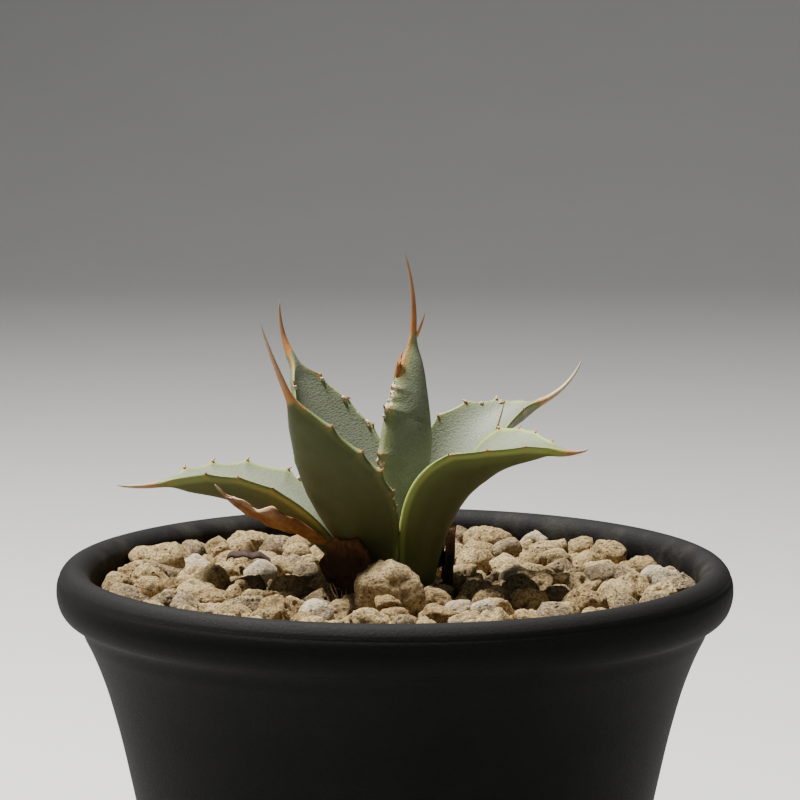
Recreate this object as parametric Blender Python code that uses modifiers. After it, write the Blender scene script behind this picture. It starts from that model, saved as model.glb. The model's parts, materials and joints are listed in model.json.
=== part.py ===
"""A small spiny agave in a round black pot, dressed with pumice stones.

The origin is the centre of the pot's foot, on the surface that it stands on, with +Z up.
Azimuths are in degrees, anticlockwise seen from above, and 0 is +X.
Heights on the plant and on the gravel are measured from the plane of the pot's rim.
"""
import math
import random
from typing import NamedTuple

import bmesh
import bpy
import numpy as np
from mathutils import Matrix, Vector

MM = 0.001

# ---- Clearance kept between pieces that touch
GAP = 0.3 * MM

# ---- Pot
POT_HEIGHT = 82 * MM
RIM_RADIUS = 45 * MM            # out to the fattest line of the rolled rim
RIM_ROLL_WIDTH = 2.2 * MM       # from the rim's crest out to its fattest line
RIM_ROLL_DROP = 3.3 * MM        # from the crest down to the fattest line
RIM_INNER_WIDTH = 2.4 * MM      # from the crest in to the inner wall
RIM_INNER_DROP = 2.6 * MM
RIM_TUCK = 2.2 * MM             # how far the wall is set in under the roll
RIM_TUCK_DROP = 3.6 * MM        # from the fattest line down to the wall
WALL_THICKNESS = 2.4 * MM
WALL_TAPER = 0.19               # the wall draws in by this much for each unit of depth
FLARE = 3.4 * MM                # extra radius under the rim, dying away downwards
FLARE_FADE = 6.9 * MM           # depth over which the flare fades
FLOOR_THICKNESS = 3 * MM
FOOT_RING_HEIGHT = 2 * MM
FOOT_RING_WIDTH = 3.5 * MM
DRAIN_RADIUS = 6 * MM
POT_SIDES = 64
WALL_RINGS = 9
INNER_RINGS = 6
ROLL_STEPS = 4

# ---- Filling
BED_TOP = -5.5 * MM             # top of the small grit, from the rim's plane
BED_DEPTH = 4 * MM
BED_SIDES = 48

# ---- Stem and roots
STEM_RADIUS = 4.2 * MM
STEM_TOP_RADIUS = 1.9 * MM
STEM_TOP = 3.7 * MM             # height of the growing point above the rim's plane
STEM_SHOULDER = -2.5 * MM       # where the stem starts to narrow
STEM_FOOT_RADIUS = 2.4 * MM
STEM_FOOT = -30 * MM
STEM_SIDES = 24
ROOT_COUNT = 5
ROOT_RADIUS = 1.2 * MM
ROOT_TIP_RADIUS = 0.5 * MM
ROOT_REACH = 17 * MM
ROOT_DROP = 20 * MM
ROOT_START = -16 * MM
ROOT_STEPS = 7

# ---- Leaf surface
SECTION_HALF = 6                # points across one face of a leaf, from margin to margin
BLADE_RINGS = 17
SPINE_RINGS = 6
SPINE_RADIUS = 0.62 * MM
SPINE_TIP_RADIUS = 0.12 * MM
SPINE_BOW = (0.36, 0.36)
SPINE_COLLAR = 0.13             # share of the blade over which it gathers into the spine

# ---- Ground that the crown of leaves takes among the stones
CROWN_OUT = 4.6 * MM            # from the stem's side out to where stones may start
SHEATH_OUT = 7.1 * MM           # the same, in front of the dead leaf bases

# ---- Stones
STONE_JITTER = 0.13
SCATTER_COUNT = 20
SCATTER_LENGTH = (3.8 * MM, 6.2 * MM)
SCATTER_HEIGHT = (3.6 * MM, 5.4 * MM)
SCATTER_SPACING = 0.2           # between stone centres, as a share of the bed's width
SEED = 11

# ---- Colours, linear RGB
POT_BLACK = (0.018, 0.017, 0.017)
LEAF_GREEN = (0.23, 0.29, 0.22)
DEAD_LEAF = (0.42, 0.22, 0.10)
PUMICE_TAN = (0.62, 0.52, 0.38)
PUMICE_WHITE = (0.82, 0.78, 0.70)
PUMICE_GREY = (0.36, 0.31, 0.25)
MIX_BROWN = (0.10, 0.06, 0.035)
ROOT_TAN = (0.48, 0.36, 0.22)


class Leaf(NamedTuple):
    """One leaf. Places are (out from the stem's side, azimuth, height), in millimetres and degrees."""
    name: str
    foot: tuple
    foot_rise: float            # degrees above level
    foot_heading: float         # azimuth
    tip: tuple
    tip_rise: float
    tip_heading: float
    half_width: tuple           # at the foot and at the widest, in millimetres
    widest_at: float            # share of the blade
    fold: tuple                 # trough depth by half width, at the foot, the middle and the tip
    thickness: tuple            # on the midline at the foot and the middle, in millimetres
    roll: tuple                 # degrees, at the foot, the middle and the tip
    spine: tuple                # length in millimetres, rise and heading at its point
    teeth: tuple                # (side, share of the blade, length in millimetres)
    bow: tuple                  # how far it keeps its way at the foot and the tip, by its reach
    crinkle: float = 0.0        # millimetres, on a dried leaf


LEFT = 1
RIGHT = -1

LEAVES = (
    Leaf("leaf_left_low", (0.7, 164, -0.8), 64, 172, (27.2, 181, 11.0), -14, 183,
         (3.0, 6.2), 0.47, (0.35, 0.26, 0.12), (1.8, 3.1), (6, 2, 0), (5.8, 2, 182),
         ((RIGHT, 0.88, 1.2), (RIGHT, 0.76, 1.3), (RIGHT, 0.6, 1.2), (RIGHT, 0.42, 1.2),
          (LEFT, 0.8, 0.7), (LEFT, 0.66, 0.6), (LEFT, 0.5, 0.5)), (0.5, 0.36)),
    Leaf("leaf_left_front", (0.1, 233, -1.4), 79, 234, (15.6, 227, 25.0), 58, 224,
         (3.0, 6.6), 0.42, (0.35, 0.34, 0.20), (1.4, 2.5), (0, -6, 0), (10.0, 66, 216),
         ((LEFT, 0.80, 0.8), (LEFT, 0.64, 1.0), (LEFT, 0.52, 1.1), (LEFT, 0.40, 0.8),
          (RIGHT, 0.82, 0.8), (RIGHT, 0.62, 0.9), (RIGHT, 0.44, 0.8)), (0.4, 0.36)),
    Leaf("leaf_left_back", (-1.0, 152, 2.4), 82, 152, (12.9, 144, 27.0), 58, 145,
         (2.5, 7.4), 0.42, (0.50, 0.34, 0.20), (1.5, 2.3), (0, 8, -6), (7.2, 88, 150),
         ((RIGHT, 0.86, 0.8), (RIGHT, 0.72, 1.0), (RIGHT, 0.56, 0.9), (RIGHT, 0.42, 0.8),
          (LEFT, 0.84, 0.8), (LEFT, 0.66, 0.9), (LEFT, 0.48, 0.9)), (0.36, 0.36)),
    Leaf("leaf_centre", (-5.6, 8, 4.2), 98, 5, (-1.5, 46, 30.2), 84, 12,
         (2.6, 3.8), 0.34, (0.70, 1.00, 0.30), (2.0, 2.4), (4, 26, 40), (11.2, 76, 180),
         ((RIGHT, 0.72, 0.5), (RIGHT, 0.60, 1.0), (RIGHT, 0.36, 0.7), (RIGHT, 0.28, 0.6),
          (LEFT, 0.66, 0.7), (LEFT, 0.40, 0.9)), (0.42, 0.36)),
    Leaf("leaf_right_back", (0.4, 42, -1.2), 88, 22, (17.1, 22, 21.0), 18, 22,
         (3.2, 4.8), 0.46, (0.42, 0.32, 0.20), (1.8, 2.2), (-6, -31, 14), (7.9, 60, 30),
         ((LEFT, 0.50, 1.0), (LEFT, 0.64, 1.1), (LEFT, 0.79, 1.1), (LEFT, 0.90, 0.6),
          (RIGHT, 0.55, 0.7), (RIGHT, 0.70, 0.9), (RIGHT, 0.85, 0.8)), (0.68, 0.3)),
    Leaf("leaf_right_front", (1.45, 301, -2.0), 88, 304, (19.5, 338, 16.5), -12, 344,
         (2.6, 6.4), 0.48, (0.25, 0.34, 0.12), (1.6, 2.6), (0, -9, -5), (3.4, 14, 342),
         ((LEFT, 0.66, 1.1), (LEFT, 0.76, 0.9), (LEFT, 0.84, 0.9), (LEFT, 0.93, 0.7),
          (RIGHT, 0.84, 0.6), (RIGHT, 0.66, 0.6), (RIGHT, 0.48, 0.6)), (0.75, 0.36)),
    Leaf("dried_leaf", (5.9, 204, 3.6), 26, 205, (19.6, 201, 10.8), 34, 196,
         (1.5, 2.1), 0.55, (0.30, 0.45, 0.30), (0.9, 1.0), (0, -24, -30), (1.6, 40, 190),
         (), (0.36, 0.36), 0.45),
)


class Sheath(NamedTuple):
    """The papery foot of a dead leaf, still round the stem. Millimetres, degrees."""
    name: str
    azimuths: tuple             # from and to
    out: tuple                  # from the stem's side, at the bottom and at the top
    bottom: float
    top: float                  # at the middle of its torn upper edge
    drop: float                 # how much lower the edge is at its ends
    thickness: float


SHEATHS = (
    Sheath("dried_sheath_front", (204, 263), (4.8, 6.4), -4.0, 4.6, 2.6, 0.5),
    Sheath("dried_sheath_right", (337, 386), (2.9, 3.4), -4.2, 4.6, 3.0, 0.5),
)
SHEATH_MARGIN = 12              # degrees kept clear of stones past each end
SHEATH_COLUMNS = 14
SHEATH_ROWS = 6


class Stone(NamedTuple):
    """A stone chosen for its place: azimuth, share of the way out over the bed, size in millimetres."""
    azimuth: float
    share: float
    length: float
    width: float
    height: float
    turn: float
    colour: tuple


STONES = (
    Stone(267, 0.075, 9.4, 8.0, 9.2, 0, PUMICE_TAN),
    Stone(160, 0.83, 6.4, 5.6, 6.4, 20, PUMICE_TAN),
    Stone(181, 0.94, 4.8, 4.0, 4.4, 80, PUMICE_TAN),
    Stone(187, 0.79, 4.4, 4.0, 4.6, 10, PUMICE_TAN),
    Stone(180, 0.51, 6.0, 5.2, 5.4, 15, PUMICE_TAN),
    Stone(163, 0.31, 4.8, 4.2, 4.8, 5, PUMICE_WHITE),
    Stone(124, 0.93, 8.0, 4.6, 4.8, 30, PUMICE_TAN),
    Stone(140, 0.94, 4.6, 4.2, 4.6, 50, PUMICE_GREY),
    Stone(122, 0.56, 4.4, 4.2, 4.4, 0, PUMICE_TAN),
    Stone(150, 0.13, 4.2, 3.8, 4.4, 0, PUMICE_GREY),
    Stone(184, 0.15, 5.2, 3.8, 4.2, 8, PUMICE_TAN),
    Stone(49, 0.20, 5.0, 4.8, 5.4, 0, PUMICE_TAN),
    Stone(17, 0.18, 5.0, 4.0, 4.4, 6, PUMICE_WHITE),
    Stone(337, 0.40, 4.4, 4.0, 4.2, 10, PUMICE_GREY),
    Stone(8, 0.63, 8.4, 4.6, 4.8, 170, PUMICE_GREY),
    Stone(6, 0.87, 5.4, 4.2, 4.6, 20, PUMICE_WHITE),
    Stone(36, 0.93, 7.0, 4.6, 5.0, 120, PUMICE_TAN),
    Stone(18, 0.88, 4.4, 4.0, 4.6, 40, PUMICE_TAN),
    Stone(345, 0.67, 5.6, 4.4, 4.8, 160, PUMICE_TAN),
    Stone(330, 0.60, 6.4, 4.8, 5.0, 12, PUMICE_TAN),
    Stone(311, 0.28, 5.0, 4.4, 4.6, 25, PUMICE_TAN),
    Stone(68, 0.90, 8.0, 4.6, 4.8, 160, PUMICE_TAN),
    Stone(47, 0.72, 4.8, 4.2, 4.8, 60, PUMICE_TAN),
)


def clear_scene():
    """Start from an empty scene."""
    for thing in list(bpy.data.objects):
        bpy.data.objects.remove(thing, do_unlink=True)


def new_collection(name):
    collection = bpy.data.collections.new(name)
    bpy.context.scene.collection.children.link(collection)
    return collection


clear_scene()
PARTS = new_collection("potted_agave")
CUTTERS = new_collection("cutters")


def material(name, colour, roughness, metallic=0.0):
    """A Principled material, made once for each name."""
    if name in bpy.data.materials:
        return bpy.data.materials[name]
    made = bpy.data.materials.new(name)
    made.use_nodes = True
    shader = made.node_tree.nodes["Principled BSDF"]
    shader.inputs["Base Color"].default_value = (*colour, 1.0)
    shader.inputs["Roughness"].default_value = roughness
    shader.inputs["Metallic"].default_value = metallic
    return made


def add_object(name, mesh, finish, collection=PARTS):
    made = bpy.data.objects.new(name, mesh)
    collection.objects.link(made)
    if finish is not None:
        mesh.materials.append(finish)
    return made


def add_cutter(name, mesh):
    made = add_object(name, mesh, None, CUTTERS)
    made.hide_render = True
    made.display_type = "WIRE"
    return made


def mesh_from(name, points, faces):
    mesh = bpy.data.meshes.new(name)
    mesh.from_pydata([tuple(point) for point in points], [], faces)
    mesh.update()
    return mesh


def around(radius, azimuth, height):
    """A point from its distance from the axis, its azimuth in degrees and its height."""
    turn = math.radians(azimuth)
    return Vector((radius * math.cos(turn), radius * math.sin(turn), height))


def turned(name, profile, sides, finish, collection=PARTS):
    """A turned shape from a profile of (radius, height) at +X, top to bottom on its outer side."""
    points = [(radius, 0.0, height) for radius, height in profile]
    edges = [(i, i + 1) for i in range(len(points) - 1)]
    if points[0][0] > 0:
        edges.append((len(points) - 1, 0))
    mesh = bpy.data.meshes.new(name)
    mesh.from_pydata(points, edges, [])
    made = add_object(name, mesh, finish, collection)
    screw = made.modifiers.new("turn", "SCREW")
    screw.steps = sides
    screw.render_steps = sides
    screw.use_merge_vertices = True
    screw.merge_threshold = 0.00001
    return made


# ---- Pot

def wall_radius(depth):
    """Outer radius of the wall at a depth below the rim's plane."""
    neck_depth = RIM_ROLL_DROP + RIM_TUCK_DROP
    neck_radius = RIM_RADIUS - RIM_TUCK
    below = depth - neck_depth
    return neck_radius - FLARE * (1 - math.exp(-below / FLARE_FADE)) - WALL_TAPER * below


def inner_radius(depth):
    """Radius inside the wall at a depth below the rim's plane, below the rolled rim."""
    neck_depth = RIM_ROLL_DROP + RIM_TUCK_DROP
    if depth < neck_depth:
        return min(RIM_RADIUS - RIM_ROLL_WIDTH - RIM_INNER_WIDTH, wall_radius(neck_depth) - WALL_THICKNESS)
    return wall_radius(depth) - WALL_THICKNESS


def inner_wall_heights():
    """Heights of the rings of the inner wall, from the floor up to the tuck under the rim."""
    floor_top = FOOT_RING_HEIGHT + FLOOR_THICKNESS
    neck = POT_HEIGHT - RIM_ROLL_DROP - RIM_TUCK_DROP
    rises = 1 - (1 - np.linspace(0, 1, INNER_RINGS)) ** 1.5
    return [floor_top + (neck - floor_top) * rise for rise in rises]


def quarter(centre, width, drop, start, stop):
    """Points on part of an ellipse, angles in degrees from +radius towards +height."""
    angles = np.radians(np.linspace(start, stop, ROLL_STEPS + 1))
    return [(centre[0] + width * math.cos(a), centre[1] + drop * math.sin(a)) for a in angles]


def pot_profile():
    crest = RIM_RADIUS - RIM_ROLL_WIDTH
    foot_radius = wall_radius(POT_HEIGHT)
    outer = quarter((crest, POT_HEIGHT - RIM_ROLL_DROP), RIM_ROLL_WIDTH, RIM_ROLL_DROP, 90, 0)
    tuck_centre = (RIM_RADIUS - RIM_TUCK, POT_HEIGHT - RIM_ROLL_DROP)
    outer += quarter(tuck_centre, RIM_TUCK, RIM_TUCK_DROP, 0, -90)[1:]
    neck_depth = RIM_ROLL_DROP + RIM_TUCK_DROP
    shares = np.linspace(0, 1, WALL_RINGS + 1)[1:] ** 1.5
    outer += [(wall_radius(neck_depth + s * (POT_HEIGHT - neck_depth)),
               (POT_HEIGHT - neck_depth) * (1 - s)) for s in shares]
    floor_top = FOOT_RING_HEIGHT + FLOOR_THICKNESS
    under = [(foot_radius - FOOT_RING_WIDTH, 0.0),
             (foot_radius - FOOT_RING_WIDTH, FOOT_RING_HEIGHT),
             (DRAIN_RADIUS, FOOT_RING_HEIGHT),
             (DRAIN_RADIUS, floor_top)]
    inner = [(inner_radius(POT_HEIGHT - height), height) for height in inner_wall_heights()]
    inner_crest = quarter((crest, POT_HEIGHT - RIM_INNER_DROP), RIM_INNER_WIDTH, RIM_INNER_DROP, 180, 90)
    return outer + under + inner + inner_crest[:-1]


def build_pot():
    finish = material("pot_black", POT_BLACK, 0.55)
    pot = turned("pot", pot_profile(), POT_SIDES, finish)
    pot.data.shade_smooth()
    return pot


# ---- Stem, roots and the mix round them

def stem_profile(extra):
    """Outline of the stem, grown by extra on every side."""
    return [(0.0, POT_HEIGHT + STEM_TOP + extra),
            (STEM_TOP_RADIUS + extra, POT_HEIGHT + STEM_TOP + extra),
            (STEM_RADIUS + extra, POT_HEIGHT + STEM_SHOULDER),
            (STEM_RADIUS + extra, POT_HEIGHT + BED_TOP - BED_DEPTH),
            (STEM_FOOT_RADIUS + extra, POT_HEIGHT + STEM_FOOT - extra),
            (0.0, POT_HEIGHT + STEM_FOOT - extra)]


def root_mesh(name, index, extra):
    """One main root: a tapered tube that leaves the stem and bends down, grown by extra."""
    azimuth = 360 * index / ROOT_COUNT + 20
    curve = bpy.data.curves.new(name, "CURVE")
    curve.dimensions = "3D"
    curve.bevel_depth = 1.0
    curve.bevel_resolution = 1
    curve.use_fill_caps = True
    spline = curve.splines.new("POLY")
    spline.points.add(ROOT_STEPS - 1)
    for step, point in enumerate(spline.points):
        share = step / (ROOT_STEPS - 1)
        out = ROOT_REACH * math.sin(share * math.pi / 2)
        down = ROOT_START - ROOT_DROP * (1 - math.cos(share * math.pi / 2))
        swing = 10 * math.sin(share * math.pi + index)
        place = around(out, azimuth + swing, POT_HEIGHT + down)
        point.co = (*place, 1.0)
        point.radius = ROOT_RADIUS + (ROOT_TIP_RADIUS - ROOT_RADIUS) * share + extra
    end, before = spline.points[-1], spline.points[-2]
    end.co += (end.co - before.co).normalized() * extra
    holder = bpy.data.objects.new(name, curve)
    CUTTERS.objects.link(holder)
    bpy.context.view_layer.update()
    evaluated = holder.evaluated_get(bpy.context.evaluated_depsgraph_get())
    mesh = bpy.data.meshes.new_from_object(evaluated)
    bpy.data.objects.remove(holder, do_unlink=True)
    bpy.data.curves.remove(curve)
    work = bmesh.new()
    work.from_mesh(mesh)
    bmesh.ops.remove_doubles(work, verts=work.verts, dist=0.00001)
    bmesh.ops.recalc_face_normals(work, faces=work.faces)
    work.to_mesh(mesh)
    work.free()
    mesh.name = name
    return mesh


def combine(target, tools, operation):
    for tool in tools:
        step = target.modifiers.new(tool.name, "BOOLEAN")
        step.operation = operation
        step.solver = "EXACT"
        step.object = tool


def build_rootstock():
    finish = material("root_tan", ROOT_TAN, 0.9)
    rootstock = turned("rootstock", stem_profile(0.0), STEM_SIDES, finish)
    roots = [add_cutter(f"root_{i}", root_mesh(f"root_{i}", i, 0.0)) for i in range(ROOT_COUNT)]
    combine(rootstock, roots, "UNION")
    return rootstock


def build_filling():
    """The potting mix, hollowed for the rootstock, and the bed of small grit on it."""
    floor_top = FOOT_RING_HEIGHT + FLOOR_THICKNESS + GAP
    mix_top = POT_HEIGHT + BED_TOP - BED_DEPTH - GAP
    heights = [h for h in reversed(inner_wall_heights()) if floor_top < h < mix_top - GAP]
    heights = [mix_top] + heights + [floor_top]
    side = [(inner_radius(POT_HEIGHT - h) - GAP, h) for h in heights]
    finish = material("mix_brown", MIX_BROWN, 0.95)
    mix = turned("potting_mix", [(0.0, mix_top)] + side + [(0.0, floor_top)], BED_SIDES, finish)
    hollow = turned("stem_hollow", stem_profile(GAP), STEM_SIDES, None, CUTTERS)
    hollow.hide_render = True
    hollow.display_type = "WIRE"
    channels = [add_cutter(f"root_channel_{i}", root_mesh(f"root_channel_{i}", i, GAP))
                for i in range(ROOT_COUNT)]
    combine(hollow, channels, "UNION")
    combine(mix, [hollow], "DIFFERENCE")

    bed_top = POT_HEIGHT + BED_TOP
    bed_foot = bed_top - BED_DEPTH
    outer = [(inner_radius(-BED_TOP) - GAP, bed_top),
             (inner_radius(-BED_TOP + BED_DEPTH) - GAP, bed_foot)]
    hole = STEM_RADIUS + GAP
    grit_finish = material("pumice_tan", PUMICE_TAN, 0.9)
    turned("grit_bed", outer + [(hole, bed_foot), (hole, bed_top)], BED_SIDES, grit_finish)


# ---- Leaves

def direction(rise, heading):
    up = math.radians(rise)
    turn = math.radians(heading)
    return Vector((math.cos(up) * math.cos(turn), math.cos(up) * math.sin(turn), math.sin(up)))


def leaf_place(place):
    out, azimuth, height = place
    return around(STEM_RADIUS + out * MM, azimuth, POT_HEIGHT + height * MM)


def bowed(start, start_way, end, end_way, bow, share):
    """A point on the curve that leaves start along start_way and reaches end along end_way."""
    reach = (end - start).length
    b = start + start_way * reach * bow[0]
    c = end - end_way * reach * bow[1]
    rest = 1 - share
    return start * rest ** 3 + b * 3 * rest ** 2 * share + c * 3 * rest * share ** 2 + end * share ** 3


def through(values, share):
    """Parabola through three values, at the foot, the middle and the tip."""
    first, middle, last = values
    return (first * (1 - share) * (1 - 2 * share) + middle * 4 * share * (1 - share)
            + last * share * (2 * share - 1))


def blade_half_width(leaf, share):
    foot, widest = (value * MM for value in leaf.half_width)
    if share < leaf.widest_at:
        return foot + (widest - foot) * math.sin(math.pi / 2 * share / leaf.widest_at)
    run = (share - leaf.widest_at) / (1 - leaf.widest_at)
    return SPINE_RADIUS + (widest - SPINE_RADIUS) * math.cos(math.pi / 2 * run) ** 1.2


def blade_thickness(leaf, share):
    foot, middle = (value * MM for value in leaf.thickness)
    if share < 0.5:
        return foot + (middle - foot) * math.sin(math.pi * share)
    return 2 * SPINE_RADIUS + (middle - 2 * SPINE_RADIUS) * math.sin(math.pi * share) ** 0.6


def section(half_width, depth, thickness):
    """Closed outline across a leaf, as (sideways, towards the upper face), from the left margin."""
    outline = []
    for step in range(SECTION_HALF + 1):
        across = math.cos(math.pi * step / SECTION_HALF)
        outline.append((half_width * across, -depth * (1 - across * across)))
    for step in range(1, SECTION_HALF):
        across = -math.cos(math.pi * step / SECTION_HALF)
        fall = (1 - across * across)
        outline.append((half_width * across, -depth * fall - thickness * fall ** 0.62))
    return outline


def round_section(radius):
    count = 2 * SECTION_HALF
    return [(radius * math.cos(2 * math.pi * k / count), radius * math.sin(2 * math.pi * k / count) - radius)
            for k in range(count)]


def blade_shares(leaf):
    """Shares along the blade: even steps, and one at each tooth."""
    shares = [tooth[1] for tooth in leaf.teeth]
    near = 0.4 / BLADE_RINGS
    for step in range(BLADE_RINGS + 1):
        share = step / BLADE_RINGS
        if all(abs(share - other) > near for other in shares):
            shares.append(share)
    return sorted(set(shares))


def leaf_rings(leaf):
    """Rings of points from the foot to the spine's tip, and the tip itself."""
    foot = leaf_place(leaf.foot)
    tip = leaf_place(leaf.tip)
    foot_way = direction(leaf.foot_rise, leaf.foot_heading)
    tip_way = direction(leaf.tip_rise, leaf.tip_heading)
    teeth = {(side, share): length * MM for side, share, length in leaf.teeth}
    noise = random.Random(leaf.name)
    rings = []
    step = 0.002

    def frame_at(way, heading, roll):
        """Sideways and upward directions across the leaf, level before it is rolled."""
        level = Vector((0, 0, 1)).cross(direction(0, heading))
        level = (level - way * level.dot(way)).normalized()
        upper = way.cross(level).normalized()
        turn = Matrix.Rotation(math.radians(-roll), 3, way)
        return turn @ level, turn @ upper

    for share in blade_shares(leaf):
        place = bowed(foot, foot_way, tip, tip_way, leaf.bow, share)
        before = bowed(foot, foot_way, tip, tip_way, leaf.bow, max(share - step, 0))
        after = bowed(foot, foot_way, tip, tip_way, leaf.bow, min(share + step, 1))
        way = (after - before).normalized()
        heading = leaf.foot_heading + (leaf.tip_heading - leaf.foot_heading) * share
        across, upper = frame_at(way, heading, through(leaf.roll, share))
        half = blade_half_width(leaf, share)
        outline = section(half, through(leaf.fold, share) * half, blade_thickness(leaf, share))
        gather = max(0.0, (share - (1 - SPINE_COLLAR)) / SPINE_COLLAR)
        circle = round_section(SPINE_RADIUS)
        ring = []
        for index, ((a, b), (c, d)) in enumerate(zip(outline, circle)):
            x = a + (c - a) * gather
            y = b + (d - b) * gather
            if index == 0:
                x += teeth.get((LEFT, share), 0.0)
            if index == SECTION_HALF:
                x -= teeth.get((RIGHT, share), 0.0)
            rough = leaf.crinkle * MM * noise.uniform(-1, 1) * min(1.0, 3 * share) * (1 - gather)
            ring.append(place + across * x + upper * (y + rough))
        rings.append(ring)

    length, rise, heading = leaf.spine
    point_way = direction(rise, heading)
    spine_tip = tip + (tip_way + point_way).normalized() * length * MM
    for index in range(1, SPINE_RINGS + 1):
        share = index / (SPINE_RINGS + 1)
        place = bowed(tip, tip_way, spine_tip, point_way, SPINE_BOW, share)
        after = bowed(tip, tip_way, spine_tip, point_way, SPINE_BOW, share + 0.02)
        way = (after - place).normalized()
        across, upper = frame_at(way, leaf.tip_heading, leaf.roll[2])
        radius = SPINE_RADIUS + (SPINE_TIP_RADIUS - SPINE_RADIUS) * share
        rings.append([place + across * a + upper * b for a, b in round_section(radius)])
    return rings, spine_tip


def leaf_mesh(leaf):
    rings, tip = leaf_rings(leaf)
    count = 2 * SECTION_HALF
    points = [point for ring in rings for point in ring] + [tip]
    faces = []
    for row in range(len(rings) - 1):
        for k in range(count):
            near = row * count + k
            beside = row * count + (k + 1) % count
            faces.append((near, beside, beside + count))
            faces.append((near, beside + count, near + count))
    last = (len(rings) - 1) * count
    for k in range(count):
        faces.append((last + k, last + (k + 1) % count, len(points) - 1))
    for k in range(SECTION_HALF):
        upper_a, upper_b = k, k + 1
        under_a, under_b = (count - k) % count, count - k - 1
        if upper_a != under_a:
            faces.append((upper_b, upper_a, under_a))
        if upper_b != under_b:
            faces.append((upper_b, under_a, under_b))
    mesh = mesh_from(leaf.name, points, faces)
    work = bmesh.new()
    work.from_mesh(mesh)
    bmesh.ops.recalc_face_normals(work, faces=work.faces)
    work.to_mesh(mesh)
    work.free()
    return mesh


def build_leaves():
    green = material("leaf_green", LEAF_GREEN, 0.5)
    dead = material("dead_leaf", DEAD_LEAF, 0.8)
    for leaf in LEAVES:
        made = add_object(leaf.name, leaf_mesh(leaf), dead if leaf.crinkle else green)
        made.data.shade_smooth()


def build_sheath(sheath):
    """An open curved sheet with a torn upper edge, given its thickness by Solidify."""
    start, stop = sheath.azimuths
    points = []
    for row in range(SHEATH_ROWS + 1):
        rise = row / SHEATH_ROWS
        for column in range(SHEATH_COLUMNS + 1):
            share = column / SHEATH_COLUMNS
            ragged = 0.35 * math.sin(17 * share + start) + 0.2 * math.sin(41 * share)
            edge = sheath.top - sheath.drop * (2 * share - 1) ** 2 + ragged
            height = sheath.bottom + (edge - sheath.bottom) * rise
            out = sheath.out[0] + (sheath.out[1] - sheath.out[0]) * rise ** 1.4
            wave = 0.12 * math.sin(23 * share + 2 * rise)
            points.append(around(STEM_RADIUS + (out + wave) * MM, start + (stop - start) * share,
                                 POT_HEIGHT + height * MM))
    across = SHEATH_COLUMNS + 1
    faces = [(row * across + k, row * across + k + 1, (row + 1) * across + k + 1, (row + 1) * across + k)
             for row in range(SHEATH_ROWS) for k in range(SHEATH_COLUMNS)]
    made = add_object(sheath.name, mesh_from(sheath.name, points, faces),
                      material("dead_leaf", DEAD_LEAF, 0.8))
    wall = made.modifiers.new("wall", "SOLIDIFY")
    wall.thickness = sheath.thickness * MM
    wall.offset = 1.0
    made.data.shade_smooth()


# ---- Stones

class Placed(NamedTuple):
    centre: Vector
    size: tuple
    turn: float
    colour: tuple


def crown_radius(azimuth):
    """How far out from the axis the leaves and dead leaf bases reach at the gravel."""
    for sheath in SHEATHS:
        start, stop = sheath.azimuths
        middle = (start + stop) / 2
        if abs((azimuth - middle + 180) % 360 - 180) < (stop - start) / 2 + SHEATH_MARGIN:
            return STEM_RADIUS + SHEATH_OUT
    return STEM_RADIUS + CROWN_OUT


def bed_reach():
    return inner_radius(-BED_TOP) - GAP


def place_stone(azimuth, share, size, turn, colour):
    inner = crown_radius(azimuth) + size[1] / 3
    outer = bed_reach() - size[1] / 3
    floor = POT_HEIGHT + BED_TOP + GAP
    centre = around(inner + share * (outer - inner), azimuth, floor + size[2] * 0.36)
    return Placed(centre, size, turn, colour)


def chosen_stones():
    return [place_stone(s.azimuth, s.share, (s.length * MM, s.width * MM, s.height * MM), s.turn, s.colour)
            for s in STONES]


def scattered_stones():
    """Stones dropped at random between the chosen ones, spaced on a disc of radius one."""
    draw = random.Random(SEED)
    taken = [around(s.share, s.azimuth, 0) for s in STONES]
    placed = []
    while len(placed) < SCATTER_COUNT:
        azimuth = draw.uniform(0, 360)
        share = math.sqrt(draw.uniform(0.02, 0.9))
        spot = around(share, azimuth, 0)
        if any((spot - other).length < SCATTER_SPACING for other in taken):
            continue
        taken.append(spot)
        length = draw.uniform(*SCATTER_LENGTH)
        size = (length, length * draw.uniform(0.75, 0.95), draw.uniform(*SCATTER_HEIGHT))
        colour = draw.choice((PUMICE_TAN, PUMICE_TAN, PUMICE_TAN, PUMICE_WHITE, PUMICE_GREY))
        placed.append(place_stone(azimuth, share, size, draw.uniform(0, 180), colour))
    return placed


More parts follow.
